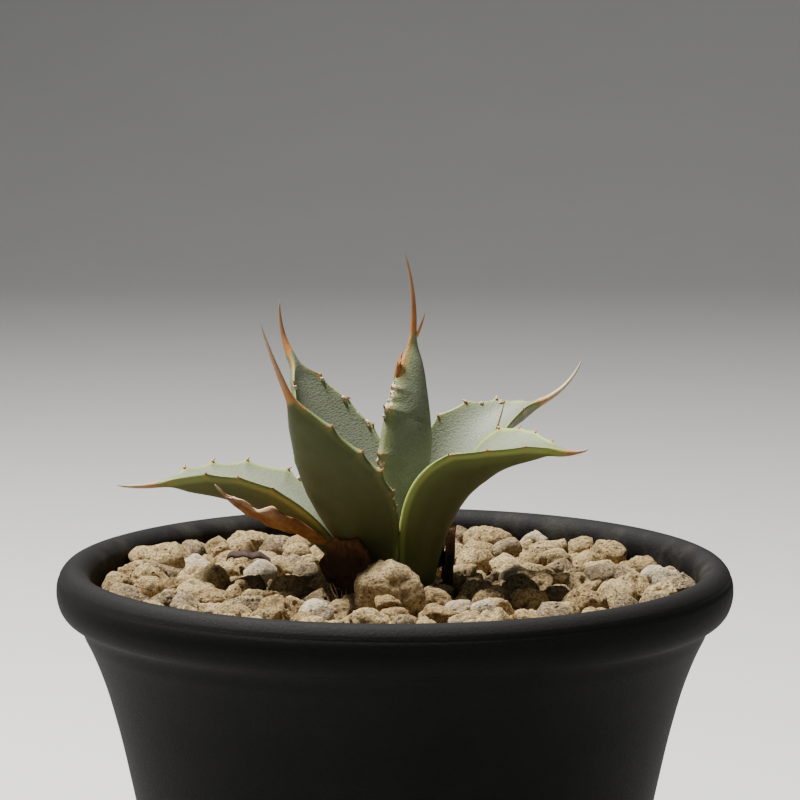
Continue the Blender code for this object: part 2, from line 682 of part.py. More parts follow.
def stone_mesh(name, stone, limits):
    """An uneven ball, cut flat by each limit plane (point, normal), and closed again as a hull."""
    draw = random.Random(name)
    work = bmesh.new()
    bmesh.ops.create_icosphere(work, subdivisions=2, radius=0.5)
    for vert in work.verts:
        vert.co *= 1 + draw.uniform(-STONE_JITTER, STONE_JITTER)
    shape = Matrix.Translation(stone.centre) @ Matrix.Rotation(math.radians(stone.turn), 4, "Z")
    shape = shape @ Matrix.Diagonal((*stone.size, 1.0))
    bmesh.ops.transform(work, matrix=shape, verts=work.verts)
    for point, normal in limits:
        everything = work.verts[:] + work.edges[:] + work.faces[:]
        bmesh.ops.bisect_plane(work, geom=everything, plane_co=point, plane_no=normal, clear_outer=True)
    corners = [vert.co.copy() for vert in work.verts]
    work.free()

    hull = bmesh.new()
    for corner in corners:
        hull.verts.new(corner)
    bmesh.ops.remove_doubles(hull, verts=hull.verts, dist=0.15 * MM)
    made = bmesh.ops.convex_hull(hull, input=hull.verts)
    inside = set(made["geom_interior"] + made["geom_unused"])
    loose = [item for item in inside if isinstance(item, bmesh.types.BMVert)]
    bmesh.ops.delete(hull, geom=loose, context="VERTS")
    bmesh.ops.recalc_face_normals(hull, faces=hull.faces)
    mesh = bpy.data.meshes.new(name)
    hull.to_mesh(mesh)
    hull.free()
    return mesh


def stone_limits(index, stones):
    """Planes that keep one stone off its neighbours, the bed, the wall and the plant."""
    stone = stones[index]
    floor = Vector((0, 0, POT_HEIGHT + BED_TOP + GAP))
    limits = [(floor, Vector((0, 0, -1)))]
    for other_index, other in enumerate(stones):
        apart = other.centre - stone.centre
        apart.z = 0
        distance = apart.length
        if other_index == index or distance > stone.size[0] + other.size[0]:
            continue
        share = stone.size[0] / (stone.size[0] + other.size[0])
        way = apart.normalized()
        limits.append((stone.centre + way * (distance * share - GAP / 2), way))
    azimuth = math.degrees(math.atan2(stone.centre.y, stone.centre.x)) % 360
    reach = bed_reach() - GAP
    for swing in range(-24, 25, 6):
        way = around(1.0, azimuth + swing, 0)
        limits.append((way * reach, way))
    inward = around(-1.0, azimuth, 0)
    limits.append((inward * -crown_radius(azimuth), inward))
    return limits


def build_stones():
    stones = chosen_stones() + scattered_stones()
    for index, stone in enumerate(stones):
        name = f"pumice_{index + 1:02d}"
        mesh = stone_mesh(name, stone, stone_limits(index, stones))
        shade = {PUMICE_TAN: "pumice_tan", PUMICE_WHITE: "pumice_white", PUMICE_GREY: "pumice_grey"}
        add_object(name, mesh, material(shade[stone.colour], stone.colour, 0.9))


build_pot()
build_rootstock()
build_filling()
build_leaves()
for dead_base in SHEATHS:
    build_sheath(dead_base)
build_stones()
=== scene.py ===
"""Looks for a small spiny agave in a round black pot dressed with pumice stones.

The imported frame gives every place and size: the pot's outline, the rings of each leaf with
its teeth, and the stones. Each piece here is the finished form of one or more of its nodes.
"""
import json
import math
import random
from typing import NamedTuple

import bmesh
import bpy
import numpy as np
from mathutils import Matrix, Vector, noise
from mathutils.bvhtree import BVHTree

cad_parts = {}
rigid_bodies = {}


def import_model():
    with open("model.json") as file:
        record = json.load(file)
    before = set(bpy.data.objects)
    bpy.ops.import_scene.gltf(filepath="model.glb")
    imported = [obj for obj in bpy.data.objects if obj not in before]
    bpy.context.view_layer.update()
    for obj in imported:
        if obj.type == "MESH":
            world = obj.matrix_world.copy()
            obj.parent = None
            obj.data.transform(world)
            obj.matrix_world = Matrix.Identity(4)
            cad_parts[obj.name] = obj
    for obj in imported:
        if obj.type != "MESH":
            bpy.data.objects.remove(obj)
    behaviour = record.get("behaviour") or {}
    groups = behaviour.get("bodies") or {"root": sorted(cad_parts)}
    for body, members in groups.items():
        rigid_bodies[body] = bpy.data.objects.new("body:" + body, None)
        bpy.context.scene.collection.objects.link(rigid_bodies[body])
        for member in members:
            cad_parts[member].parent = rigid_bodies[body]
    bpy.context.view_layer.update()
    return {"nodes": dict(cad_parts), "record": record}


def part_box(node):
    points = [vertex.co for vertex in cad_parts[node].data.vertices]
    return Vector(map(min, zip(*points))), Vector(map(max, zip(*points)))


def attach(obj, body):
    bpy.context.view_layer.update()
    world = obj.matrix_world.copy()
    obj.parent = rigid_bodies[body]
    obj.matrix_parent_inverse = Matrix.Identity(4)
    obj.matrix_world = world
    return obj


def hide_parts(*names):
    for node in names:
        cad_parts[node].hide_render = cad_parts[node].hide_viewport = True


for thing in list(bpy.data.objects):
    bpy.data.objects.remove(thing, do_unlink=True)

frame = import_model()
NODES = frame["nodes"]
MM = 0.001
RIM_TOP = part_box("pot")[1].z
RIM_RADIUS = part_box("pot")[1].x
BED_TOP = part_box("grit_bed")[1].z
BED_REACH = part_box("grit_bed")[1].x


# ---- Node trees

class Tree:
    """A node tree being built. An input that is given as a socket is linked, any other is set."""

    def __init__(self, tree):
        self.tree = tree

    def add(self, kind, inputs=None, **settings):
        node = self.tree.nodes.new(kind)
        for name, value in settings.items():
            setattr(node, name, value)
        self.fill(node, inputs or {})
        return node

    def fill(self, node, inputs):
        for key, value in inputs.items():
            if isinstance(value, bpy.types.NodeSocket):
                self.tree.links.new(value, node.inputs[key])
            else:
                node.inputs[key].default_value = value

    def calc(self, operation, a, b=0.0, clamp=False):
        return self.add("ShaderNodeMath", {0: a, 1: b}, operation=operation, use_clamp=clamp).outputs[0]

    def times(self, a, b):
        return self.calc("MULTIPLY", a, b)

    def plus(self, a, b):
        return self.calc("ADD", a, b)

    def minus(self, a, b):
        return self.calc("SUBTRACT", a, b)

    def held(self, value):
        """The value held between 0 and 1."""
        return self.calc("ADD", value, 0.0, clamp=True)

    def between(self, value, low, high):
        """0 at low, 1 at high, smooth and held beyond them."""
        node = self.add("ShaderNodeMapRange", {"Value": value, "From Min": low, "From Max": high},
                        interpolation_type="SMOOTHSTEP")
        return node.outputs["Result"]


class Shader(Tree):
    """A shader tree, with the textures and mixes that the finishes use."""

    def mix(self, share, a, b):
        a, b = (colour if isinstance(colour, bpy.types.NodeSocket) else (*colour, 1.0) for colour in (a, b))
        return self.add("ShaderNodeMix", {0: share, 6: a, 7: b}, data_type="RGBA").outputs[2]

    def place(self):
        return self.add("ShaderNodeTexCoord").outputs["Object"]

    def stretched(self, vector, scale):
        return self.add("ShaderNodeMapping", {"Vector": vector, "Scale": scale}).outputs[0]

    def clouds(self, vector, scale, detail=3.0, roughness=0.55, distortion=0.0):
        node = self.add("ShaderNodeTexNoise", {"Vector": vector, "Scale": scale, "Detail": detail,
                                               "Roughness": roughness, "Distortion": distortion})
        return node.outputs["Fac"]

    def cells(self, vector, scale, feature="F1"):
        node = self.add("ShaderNodeTexVoronoi", {"Vector": vector, "Scale": scale}, feature=feature)
        return node.outputs["Distance"]

    def mark(self, name):
        """A number kept on the mesh's points."""
        return self.add("ShaderNodeAttribute", attribute_name=name).outputs["Fac"]

    def ramp(self, value, stops):
        node = self.add("ShaderNodeValToRGB", {"Fac": value})
        band = node.color_ramp.elements
        while len(band) < len(stops):
            band.new(0.5)
        for element, (at, colour) in zip(band, stops):
            element.position = at
            element.color = (*colour, 1.0)
        return node.outputs["Color"]

    def use(self, group, inputs):
        return self.add("ShaderNodeGroup", inputs, node_tree=group).outputs

    def bump(self, height, distance, strength=1.0):
        node = self.add("ShaderNodeBump", {"Height": height, "Distance": distance, "Strength": strength})
        return node.outputs["Normal"]


def shader_group(name, inputs, outputs):
    """A shader node group with named number inputs, and its group input and output nodes."""
    group = bpy.data.node_groups.new(name, "ShaderNodeTree")
    for label, value in inputs.items():
        socket = group.interface.new_socket(label, in_out="INPUT", socket_type="NodeSocketFloat")
        socket.default_value = value
    for label in outputs:
        group.interface.new_socket(label, in_out="OUTPUT", socket_type="NodeSocketFloat")
    tree = Shader(group)
    return tree, tree.add("NodeGroupInput").outputs, group


def new_finish(name):
    """An empty material with a Principled shader: the tree, and the shader node."""
    made = bpy.data.materials.new(name)
    made.use_nodes = True
    shader = made.node_tree.nodes["Principled BSDF"]
    return made, Shader(made.node_tree), shader


def wire(tree, shader, **sockets):
    """Link or set the shader's inputs, named with _ for a space."""
    tree.fill(shader, {key.replace("_", " "): value for key, value in sockets.items()})


# ---- Effects that several finishes share

def make_pitted_rock():
    """Height of porous rock, and the masks by which it is painted darker as shade and lighter as highlight:
    coarse knobs, grains and open pits.
    """
    tree, given, group = shader_group("pitted_rock", {"Grain Scale": 2900.0, "Pit Scale": 1350.0,
                                                      "Pit Share": 0.3}, ("Height", "Pits", "Grains"))
    place = tree.place()
    drift = tree.add("ShaderNodeTexNoise", {"Vector": place, "Scale": 700.0}).outputs["Color"]
    drift = tree.add("ShaderNodeVectorMath", {0: drift, 1: (0.6 * MM,) * 3}, operation="MULTIPLY").outputs[0]
    wander = tree.add("ShaderNodeVectorMath", {0: place, 1: drift}).outputs[0]
    grains = tree.clouds(wander, given["Grain Scale"], 4.0, 0.7)
    knobs = tree.clouds(place, 620.0, 3.0, 0.6)
    hollows = tree.cells(wander, given["Pit Scale"])
    where = tree.between(tree.clouds(place, 420.0, 2.0), 0.42, 0.62)
    edge = tree.times(given["Pit Share"], tree.plus(where, 0.35))
    pits = tree.minus(1.0, tree.between(hollows, 0.0, edge))
    height = tree.plus(tree.times(grains, 1.1), tree.times(knobs, 0.6))
    height = tree.minus(height, tree.times(pits, 0.55))
    tree.add("NodeGroupOutput", {"Height": height, "Pits": pits, "Grains": grains})
    return group


def make_dry_fibre():
    """Height and shade of dry plant tissue: fibres along a leaf's run, and creases across them."""
    tree, given, group = shader_group("dry_fibre", {"Fibre Scale": 2400.0, "Crease Scale": 700.0},
                                      ("Height", "Shade"))
    place = tree.place()
    drawn = tree.stretched(place, (1.0, 1.0, 0.22))
    fibres = tree.clouds(drawn, given["Fibre Scale"], 3.0, 0.6)
    creases = tree.clouds(place, given["Crease Scale"], 3.0, 0.65, 0.6)
    height = tree.plus(tree.times(fibres, 0.5), tree.times(creases, 0.6))
    shade = tree.between(creases, 0.32, 0.68)
    tree.add("NodeGroupOutput", {"Height": height, "Shade": shade})
    return group


def make_fine_specks():
    """Small scattered specks, as of dust or of a sanded moulding."""
    tree, given, group = shader_group("fine_specks", {"Speck Scale": 3000.0, "Speck Size": 0.2},
                                      ("Specks", "Drift"))
    place = tree.place()
    dots = tree.cells(place, given["Speck Scale"])
    specks = tree.minus(1.0, tree.between(dots, 0.0, given["Speck Size"]))
    drift = tree.between(tree.clouds(place, 160.0, 5.0, 0.65), 0.42, 0.72)
    tree.add("NodeGroupOutput", {"Specks": specks, "Drift": drift})
    return group


PITTED_ROCK = make_pitted_rock()
DRY_FIBRE = make_dry_fibre()
FINE_SPECKS = make_fine_specks()


# ---- Finishes

# Painted highlight: the colour that the tops of a stone's grains are painted lighter with.
ROCK_GRAIN_TOP_LIGHT = (0.80, 0.68, 0.48)
ROCK_RUST = (0.36, 0.17, 0.055)
ROCK_RELIEF = 0.6 * MM


def make_pumice(name, light, dark, pit, pit_share):
    """Porous rock. The mark "tone" shifts each stone between its light and dark colour, and "hollow" is
    how deep a point lies in a pit or a dip. Pits, dips and low grains are painted darker with the pit
    colour as painted shade, and the grain tops lighter as a painted highlight."""
    made, tree, shader = new_finish(name)
    rock = tree.use(PITTED_ROCK, {"Pit Share": pit_share})
    place = tree.place()
    patches = tree.clouds(place, 260.0, 4.0, 0.6)
    uneven = tree.times(tree.minus(patches, 0.5), 0.9)
    share = tree.plus(tree.mark("tone"), uneven)
    colour = tree.mix(tree.held(share), light, dark)
    # Painted shade: the low grains are darkened toward the pit colour.
    grain = tree.minus(1.0, tree.between(rock["Grains"], 0.38, 0.60))
    colour = tree.mix(tree.times(grain, 0.62), colour, pit)
    # Painted highlight on the highest grains, standing in for the light on the relief.
    grain_top_light = tree.between(rock["Grains"], 0.54, 0.70)
    colour = tree.mix(tree.times(grain_top_light, 0.45), colour, ROCK_GRAIN_TOP_LIGHT)
    rust = tree.between(tree.clouds(place, 950.0, 2.0), 0.60, 0.74)
    colour = tree.mix(tree.times(rust, 0.35), colour, ROCK_RUST)
    # Painted shade: pits, and points deep in a pit or a dip, darkened toward the pit colour.
    colour = tree.mix(tree.times(rock["Pits"], 0.9), colour, pit)
    hollow = tree.between(tree.mark("hollow"), 0.15, 0.9)
    colour = tree.mix(tree.times(hollow, 0.6), colour, pit)
    wire(tree, shader, Base_Color=colour, Roughness=0.95, Specular_IOR_Level=0.2,
         Normal=tree.bump(rock["Height"], ROCK_RELIEF))
    return made


SKIN_INNER = (0.165, 0.185, 0.120), (0.255, 0.275, 0.192)
# The under face: its own olive, darkened as painted shade, since it is turned from the lamp above.
SKIN_OUTER_WITH_SHADE = (0.055, 0.066, 0.014), (0.105, 0.122, 0.030)
SKIN_BLOOM = (0.222, 0.246, 0.176)
SKIN_DOTS = (0.09, 0.10, 0.05)
SKIN_FOOT_STREAK = (0.100, 0.098, 0.018)
MARGIN_LINE = (0.46, 0.52, 0.13)
MARGIN_GLOW = (0.19, 0.26, 0.06)
CORK = (0.45, 0.24, 0.09), (0.74, 0.62, 0.44)
BROWN_HORN = ((0.0, (0.48, 0.26, 0.07)), (0.12, (0.46, 0.155, 0.025)), (0.45, (0.29, 0.085, 0.015)),
              (0.75, (0.40, 0.19, 0.07)), (1.0, (0.40, 0.33, 0.27)))
PALE_HORN = ((0.0, (0.56, 0.36, 0.14)), (0.14, (0.62, 0.36, 0.15)), (0.50, (0.76, 0.60, 0.40)),
             (1.0, (0.56, 0.47, 0.37)))
SKIN_RELIEF = 0.06 * MM


def skin_colour(tree, place, mottle, pebble):
    """Green skin, grey with bloom, dotted, streaked at the foot and yellow along the margin."""
    run, edge, upper = tree.mark("run"), tree.mark("edge"), tree.mark("upper")
    inner = tree.mix(mottle, *SKIN_INNER)
    # The under face's colour, partly its own and partly painted shade.
    outer = tree.mix(mottle, *SKIN_OUTER_WITH_SHADE)
    skin = tree.mix(upper, outer, inner)
    bloom = tree.mark("bloom")
    share = tree.plus(bloom, tree.times(upper, tree.minus(1.0, bloom)))
    bloom = tree.times(tree.times(bloom, share), tree.plus(mottle, 0.35))
    skin = tree.mix(bloom, skin, SKIN_BLOOM)
    dots = tree.times(tree.between(pebble, 0.35, 0.7), 0.34)
    skin = tree.mix(dots, skin, SKIN_DOTS)
    # Olive streaks, strongest at the leaf's foot and fading out before the middle of its run.
    foot = tree.minus(1.0, tree.between(run, 0.02, 0.42))
    streaks = tree.clouds(tree.stretched(place, (1.0, 1.0, 0.12)), 1500.0, 3.0)
    foot_streak = tree.times(foot, tree.between(streaks, 0.35, 0.65))
    skin = tree.mix(tree.times(foot_streak, 0.55), skin, SKIN_FOOT_STREAK)
    line = tree.minus(1.0, tree.between(edge, 0.15, 0.50))
    skin = tree.mix(tree.times(line, tree.mark("line")), skin, MARGIN_LINE)
    glow = tree.minus(1.0, tree.between(edge, 0.3, 1.9))
    return tree.mix(tree.times(glow, tree.times(tree.mark("line"), 0.45)), skin, MARGIN_GLOW)


def cork_over(tree, place, skin):
    """The skin with ragged flakes of cork on it, and the share that is cork."""
    ragged = tree.minus(tree.clouds(place, 1500.0, 4.0, 0.65), 0.5)
    share = tree.between(tree.plus(tree.mark("cork"), tree.times(ragged, 1.6)), 0.42, 0.62)
    flakes = tree.mix(tree.between(tree.clouds(place, 1900.0, 3.0), 0.36, 0.56), *CORK)
    return tree.mix(share, skin, flakes), share


def horn_over(tree, skin, grooves):
    """The skin with horn on it, brown or bleached, and the share that is horn."""
    ringed = tree.plus(tree.mark("reach"), tree.times(tree.minus(grooves, 0.5), 0.5))
    brown, pale = tree.ramp(ringed, BROWN_HORN), tree.ramp(ringed, PALE_HORN)
    share = tree.mark("horn")
    return tree.mix(share, skin, tree.mix(tree.mark("pale"), brown, pale)), share


def make_agave():
    """Leaf skin, with horn on the spine and teeth, and cork on parts of the margin.

    Marks: run (0 foot to 1 tip), edge (millimetres in from the margin), upper (1 on the upper face),
    horn (share that is horn), reach (0 root to 1 point of the horn), cork (share that is cork),
    and three that go with the leaf: bloom (waxy bloom), pale (bleached horn), line (yellow margin).
    """
    made, tree, shader = new_finish("agave_leaf")
    place = tree.place()
    mottle = tree.clouds(place, 320.0, 4.0, 0.6)
    pebble = tree.cells(place, 4300.0, "SMOOTH_F1")
    fine = tree.clouds(place, 3600.0, 3.0, 0.6)
    grooves = tree.clouds(tree.stretched(place, (1.0, 1.0, 0.16)), 2200.0, 3.0)
    skin, cork = cork_over(tree, place, skin_colour(tree, place, mottle, pebble))
    colour, horn = horn_over(tree, skin, grooves)
    relief = tree.plus(tree.times(pebble, 0.8), tree.times(fine, 0.25))
    relief = tree.plus(relief, tree.times(grooves, tree.times(horn, 1.2)))
    relief = tree.plus(relief, tree.times(cork, 1.5))
    wire(tree, shader, Base_Color=colour, Roughness=tree.plus(0.46, tree.times(fine, 0.22)),
         Specular_IOR_Level=0.35, Normal=tree.bump(relief, SKIN_RELIEF, 0.8))
    return made


def make_dry(name, outer, inner, dark):
    """Dry leaf tissue, outer to inner in colour by the mark "inside", and painted darker in its creases as
    shade.
    """
    made, tree, shader = new_finish(name)
    fibre = tree.use(DRY_FIBRE, {})
    colour = tree.mix(tree.mark("inside"), outer, inner)
    # Painted shade in the creases.
    colour = tree.mix(tree.times(fibre["Shade"], 0.55), colour, dark)
    blotch = tree.between(tree.clouds(tree.place(), 480.0, 3.0), 0.52, 0.70)
    colour = tree.mix(tree.times(blotch, 0.5), colour, dark)
    wire(tree, shader, Base_Color=colour, Roughness=0.8, Specular_IOR_Level=0.3,
         Normal=tree.bump(fibre["Height"], 0.3 * MM, 0.9))
    return made


POT_BLACKS = (0.0022, 0.0022, 0.0024), (0.0050, 0.0049, 0.0048)
# The rim's top is painted toward this colour: partly dust, partly painted sheen.
POT_SHEEN = (0.060, 0.058, 0.056)
POT_DUST = (0.062, 0.055, 0.048)
# Painted glints: the colour of tiny bright specks, most on the rim's top.
POT_GLINT = (0.28, 0.27, 0.26)
POT_LINT = (0.22, 0.19, 0.15)


def make_pot_black():
    """Matte moulded plastic with a sanded grain, and dust on the inner wall (the mark "within"). The rim's
    top is painted lighter, partly as dust and partly as painted sheen, and carries painted glints.
    """
    made, tree, shader = new_finish("pot_moulding")
    place = tree.place()
    axes = tree.add("ShaderNodeSeparateXYZ", {0: place}).outputs
    within = tree.mark("within")
    high = tree.between(axes[2], RIM_TOP - 4.0 * MM, RIM_TOP - 0.3 * MM)
    specks = tree.use(FINE_SPECKS, {"Speck Scale": 2100.0, "Speck Size": 0.17})
    glints = tree.use(FINE_SPECKS, {"Speck Scale": 3600.0, "Speck Size": 0.14})
    grain = tree.clouds(place, 2700.0, 3.0, 0.7)
    base = tree.mix(tree.clouds(place, 90.0, 4.0), *POT_BLACKS)
    # The rim's top painted lighter: partly dust, partly painted sheen.
    base = tree.mix(tree.times(high, 0.22), base, POT_SHEEN)
    dust = tree.times(specks["Drift"], tree.plus(tree.times(within, 0.60), 0.015))
    colour = tree.mix(dust, base, POT_DUST)
    # Painted glints, most on the rim's top.
    lit = tree.times(glints["Specks"], tree.plus(tree.times(high, 0.45), 0.05))
    colour = tree.mix(lit, colour, POT_GLINT)
    lint = tree.times(specks["Specks"], tree.times(specks["Drift"], 0.12))
    colour = tree.mix(lint, colour, POT_LINT)
    rough = tree.plus(0.55, tree.times(grain, 0.25))
    relief = tree.plus(grain, tree.times(specks["Specks"], 0.8))
    wire(tree, shader, Base_Color=colour, Roughness=rough, Specular_IOR_Level=0.08,
         Normal=tree.bump(relief, 0.09 * MM, 0.9))
    return made


def make_soil(name, light, dark):
    """Crumbs of soil or grit, with painted light on top of each crumb and painted shade between."""
    made, tree, shader = new_finish(name)
    place = tree.place()
    crumbs = tree.cells(place, 1100.0)
    # Painted light on the crumb tops and painted shade between them.
    colour = tree.mix(tree.between(crumbs, 0.15, 0.75), light, dark)
    colour = tree.mix(tree.between(tree.clouds(place, 900.0), 0.5, 0.7), colour, dark)
    relief = tree.minus(tree.clouds(place, 2400.0), tree.times(crumbs, 1.4))
    wire(tree, shader, Base_Color=colour, Roughness=0.95, Normal=tree.bump(relief, 0.6 * MM))
    return made


def make_backdrop():
    """Pale paper, barely clouded."""
    made, tree, shader = new_finish("backdrop_paper")
    tone = tree.clouds(tree.place(), 14.0, 4.0)
    wire(tree, shader, Base_Color=tree.mix(tone, (0.70, 0.70, 0.69), (0.74, 0.74, 0.73)), Roughness=0.9)
    return made


AGAVE = make_agave()
# The third colour of each rock is the painted shade in its pits, dips and low grains.
PUMICE = {
    "pumice_tan": make_pumice("pumice_tan_rock", (0.74, 0.56, 0.290), (0.39, 0.260, 0.115),
                              (0.085, 0.045, 0.018), 0.34),
    "pumice_white": make_pumice("pumice_white_rock", (0.80, 0.69, 0.50), (0.60, 0.47, 0.29),
                                (0.26, 0.18, 0.10), 0.26),
    "pumice_grey": make_pumice("pumice_grey_rock", (0.50, 0.385, 0.235), (0.24, 0.170, 0.092),
                               (0.055, 0.034, 0.018), 0.36),
}
DRY_PALE = make_dry("dry_leaf_pale", (0.46, 0.21, 0.075), (0.72, 0.56, 0.37), (0.22, 0.080, 0.024))
# Dark brown: partly the dead tissue's colour, partly painted shade for the leaf bases, which sit in deep
# shade.
DRY_DARK = make_dry("dry_leaf_dark", (0.055, 0.030, 0.022), (0.26, 0.12, 0.05), (0.018, 0.009, 0.007))
POT_BLACK = make_pot_black()
# The grit's colours are partly its own and partly painted shade: kept dark for the shade in the gaps between
# the stones.
GRIT = make_soil("grit_between", (0.30, 0.20, 0.11), (0.045, 0.028, 0.016))
MIX = make_soil("potting_mix_crumbs", (0.085, 0.05, 0.028), (0.018, 0.010, 0.006))


# ---- Meshes

def piece(name, points, faces, material, replaced=(), marks=None):
    """A closed piece of the object, riding on its one body."""
    mesh = bpy.data.meshes.new(name)
    mesh.from_pydata([tuple(p) for p in points], [], [tuple(int(i) for i in f) for f in faces])
    mesh.materials.append(material)
    for mark, values in (marks or {}).items():
        mesh.attributes.new(mark, "FLOAT", "POINT").data.foreach_set("value", np.asarray(values, np.float32))
    work = bmesh.new()
    work.from_mesh(mesh)
    bmesh.ops.recalc_face_normals(work, faces=work.faces)
    work.to_mesh(mesh)
    work.free()
    mesh.shade_smooth()
    return declare(name, mesh, replaced)


def placed(name, data):
    """An object in the scene that holds the data."""
    made = bpy.data.objects.new(name, data)
    bpy.context.scene.collection.objects.link(made)
    return made


def declare(name, mesh, replaced=()):
    """A piece of the object from a finished mesh: its body and the nodes it stands for."""
    made = placed(name, mesh)
    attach(made, "root")
    if replaced:
        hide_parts(*replaced)
    return made


def merged(node):
    """A CAD node's mesh with its doubles merged, as a bmesh that the caller frees."""
    work = bmesh.new()
    work.from_mesh(NODES[node].data)
    bmesh.ops.remove_doubles(work, verts=work.verts, dist=0.001 * MM)
    return work


def curve_through(values, stations, wanted):
    """Smooth curve through values at the stations, read at the wanted ones. Works on whole rings."""
    values = np.asarray(values, float)
    gaps = np.diff(stations)
    shape = (-1,) + (1,) * (values.ndim - 1)
    slopes = np.diff(values, axis=0) / gaps.reshape(shape)
    tangents = np.empty_like(values)
    before, after = gaps[:-1].reshape(shape), gaps[1:].reshape(shape)
    tangents[1:-1] = (slopes[:-1] * after + slopes[1:] * before) / (before + after)
    tangents[0] = slopes[0] * 1.5 - tangents[1] * 0.5
    tangents[-1] = slopes[-1] * 1.5 - tangents[-2] * 0.5
    index = np.clip(np.searchsorted(stations, wanted, side="right") - 1, 0, len(gaps) - 1)
    step = gaps[index].reshape(shape)
    t = ((wanted - stations[index]) / gaps[index]).reshape(shape)
    return (values[index] * (2 * t ** 3 - 3 * t ** 2 + 1) + tangents[index] * step * (t ** 3 - 2 * t ** 2 + t)
            + values[index + 1] * (3 * t ** 2 - 2 * t ** 3) + tangents[index + 1] * step * (t ** 3 - t ** 2))


def unit(vectors):
    return vectors / np.maximum(np.linalg.norm(vectors, axis=-1, keepdims=True), 1e-12)


# ---- Pot

LATHE_SIDES = 240
GROOVE_DROP = 1.75 * MM         # parting line round the lip, below its crest
GROOVE_WIDTH = 0.16 * MM
GROOVE_DEPTH = 0.14 * MM
CORNER_COSINE = 0.55            # a turn sharper than this stays a corner
LIP_STEP, WALL_STEP = 0.35 * MM, 1.0 * MM
LIP_POINTS = 6                  # a smooth stretch with more points than this is a lip or a curved wall


def pot_outline():
    """The pot's outline at +X as (radius, height), in order round the wall."""
    work = merged("pot")
    ring = [v for v in work.verts if abs(v.co.y) < 0.001 * MM and v.co.x > 0]
    start = min(ring, key=lambda v: (round(v.co.z, 6), v.co.x))
    order, previous, here = [start], None, start
    while True:
        beside = [e.other_vert(here) for e in here.link_edges]
        ways = [v for v in beside if v in ring and v is not previous]
        if previous is None:
            ways = [max(ways, key=lambda v: v.co.x)]
        previous, here = here, ways[0]
        if here is start:
            break
        order.append(here)
    outline = np.array([(v.co.x, v.co.z) for v in order])
    work.free()
    return outline


def rounded_outline(outline):
    """The outline with smooth curves along the walls and the lip, and corners kept sharp elsewhere."""
    loop = np.vstack([outline, outline[:1]])
    ways = unit(np.diff(loop, axis=0))
    count = len(outline)
    turn = [float(ways[i - 1] @ ways[i]) for i in range(count)]
    corners = [i for i in range(count) if turn[i] < CORNER_COSINE]
    result = []
    for a, b in zip(corners, corners[1:] + [corners[0] + count]):
        run = np.array([loop[i % count] for i in range(a, b + 1)])
        if len(run) == 2:
            result.append(run[:1])
            continue
        lengths = np.concatenate([[0], np.cumsum(np.linalg.norm(np.diff(run, axis=0), axis=1))])
        step = LIP_STEP if len(run) > LIP_POINTS else WALL_STEP
        wanted = np.linspace(0, lengths[-1], max(3, int(lengths[-1] / step)))
        result.append(curve_through(run, lengths, wanted)[:-1])
    return np.vstack(result)


def build_pot():
    outline = rounded_outline(pot_outline())
    crest = RIM_TOP - outline[:, 1]
    groove = np.exp(-((crest - GROOVE_DROP) / GROOVE_WIDTH) ** 2) * (outline[:, 0] > RIM_RADIUS - 2.0 * MM)
    outline[:, 0] = np.minimum(outline[:, 0] - GROOVE_DEPTH * groove, RIM_RADIUS)
    outline[:, 1] = np.clip(outline[:, 1], 0, RIM_TOP)
    ahead = np.roll(outline, -1, axis=0) - np.roll(outline, 1, axis=0)
    area = (outline[:, 0] * np.roll(outline[:, 1], -1) - np.roll(outline[:, 0], -1) * outline[:, 1]).sum()
    facing_in = np.clip(-unit(ahead)[:, 1] * math.copysign(1.0, area), 0, 1)
    within = facing_in * (outline[:, 1] > BED_TOP - 2 * MM)
    angles = np.arange(LATHE_SIDES) * 2 * math.pi / LATHE_SIDES
    rows = len(outline)
    points = np.stack([np.outer(np.cos(angles), outline[:, 0]), np.outer(np.sin(angles), outline[:, 0]),
                       np.outer(np.ones(LATHE_SIDES), outline[:, 1])], axis=-1).reshape(-1, 3)
    faces = []
    for side in range(LATHE_SIDES):
        near, far = side * rows, (side + 1) % LATHE_SIDES * rows
        for row in range(rows):
            after = (row + 1) % rows
            faces.append((near + row, far + row, far + after, near + after))
    marks = {"within": np.tile(within, LATHE_SIDES)}
    made = piece("pot_shell", points, faces, POT_BLACK, ["pot"], marks)
    made.data.set_sharp_from_angle(angle=math.radians(50))


# ---- Grown details: one tree for each shape, set on marked points

NUMBER, COUNT = "NodeSocketFloat", "NodeSocketInt"


def geometry_tree(name, numbers):
    """An empty Geometry Nodes tree that takes a mesh, named numbers and a material."""
    group = bpy.data.node_groups.new(name, "GeometryNodeTree")
    group.interface.new_socket("Geometry", in_out="INPUT", socket_type="NodeSocketGeometry")
    for label, (kind, value) in numbers.items():
        group.interface.new_socket(label, in_out="INPUT", socket_type=kind).default_value = value
    group.interface.new_socket("Material", in_out="INPUT", socket_type="NodeSocketMaterial")
    group.interface.new_socket("Geometry", in_out="OUTPUT", socket_type="NodeSocketGeometry")
    tree = Tree(group)
    return tree, tree.add("NodeGroupInput").outputs


def set_copies(tree, given, inputs):
    """End a tree with one shape set on points, made real and given its material."""
    copies = tree.add("GeometryNodeInstanceOnPoints", inputs).outputs[0]
    solid = tree.add("GeometryNodeRealizeInstances", {"Geometry": copies}).outputs[0]
    coated = tree.add("GeometryNodeSetMaterial", {"Geometry": solid, "Material": given["Material"]})
    tree.add("NodeGroupOutput", {"Geometry": coated.outputs[0]})
    return tree.tree


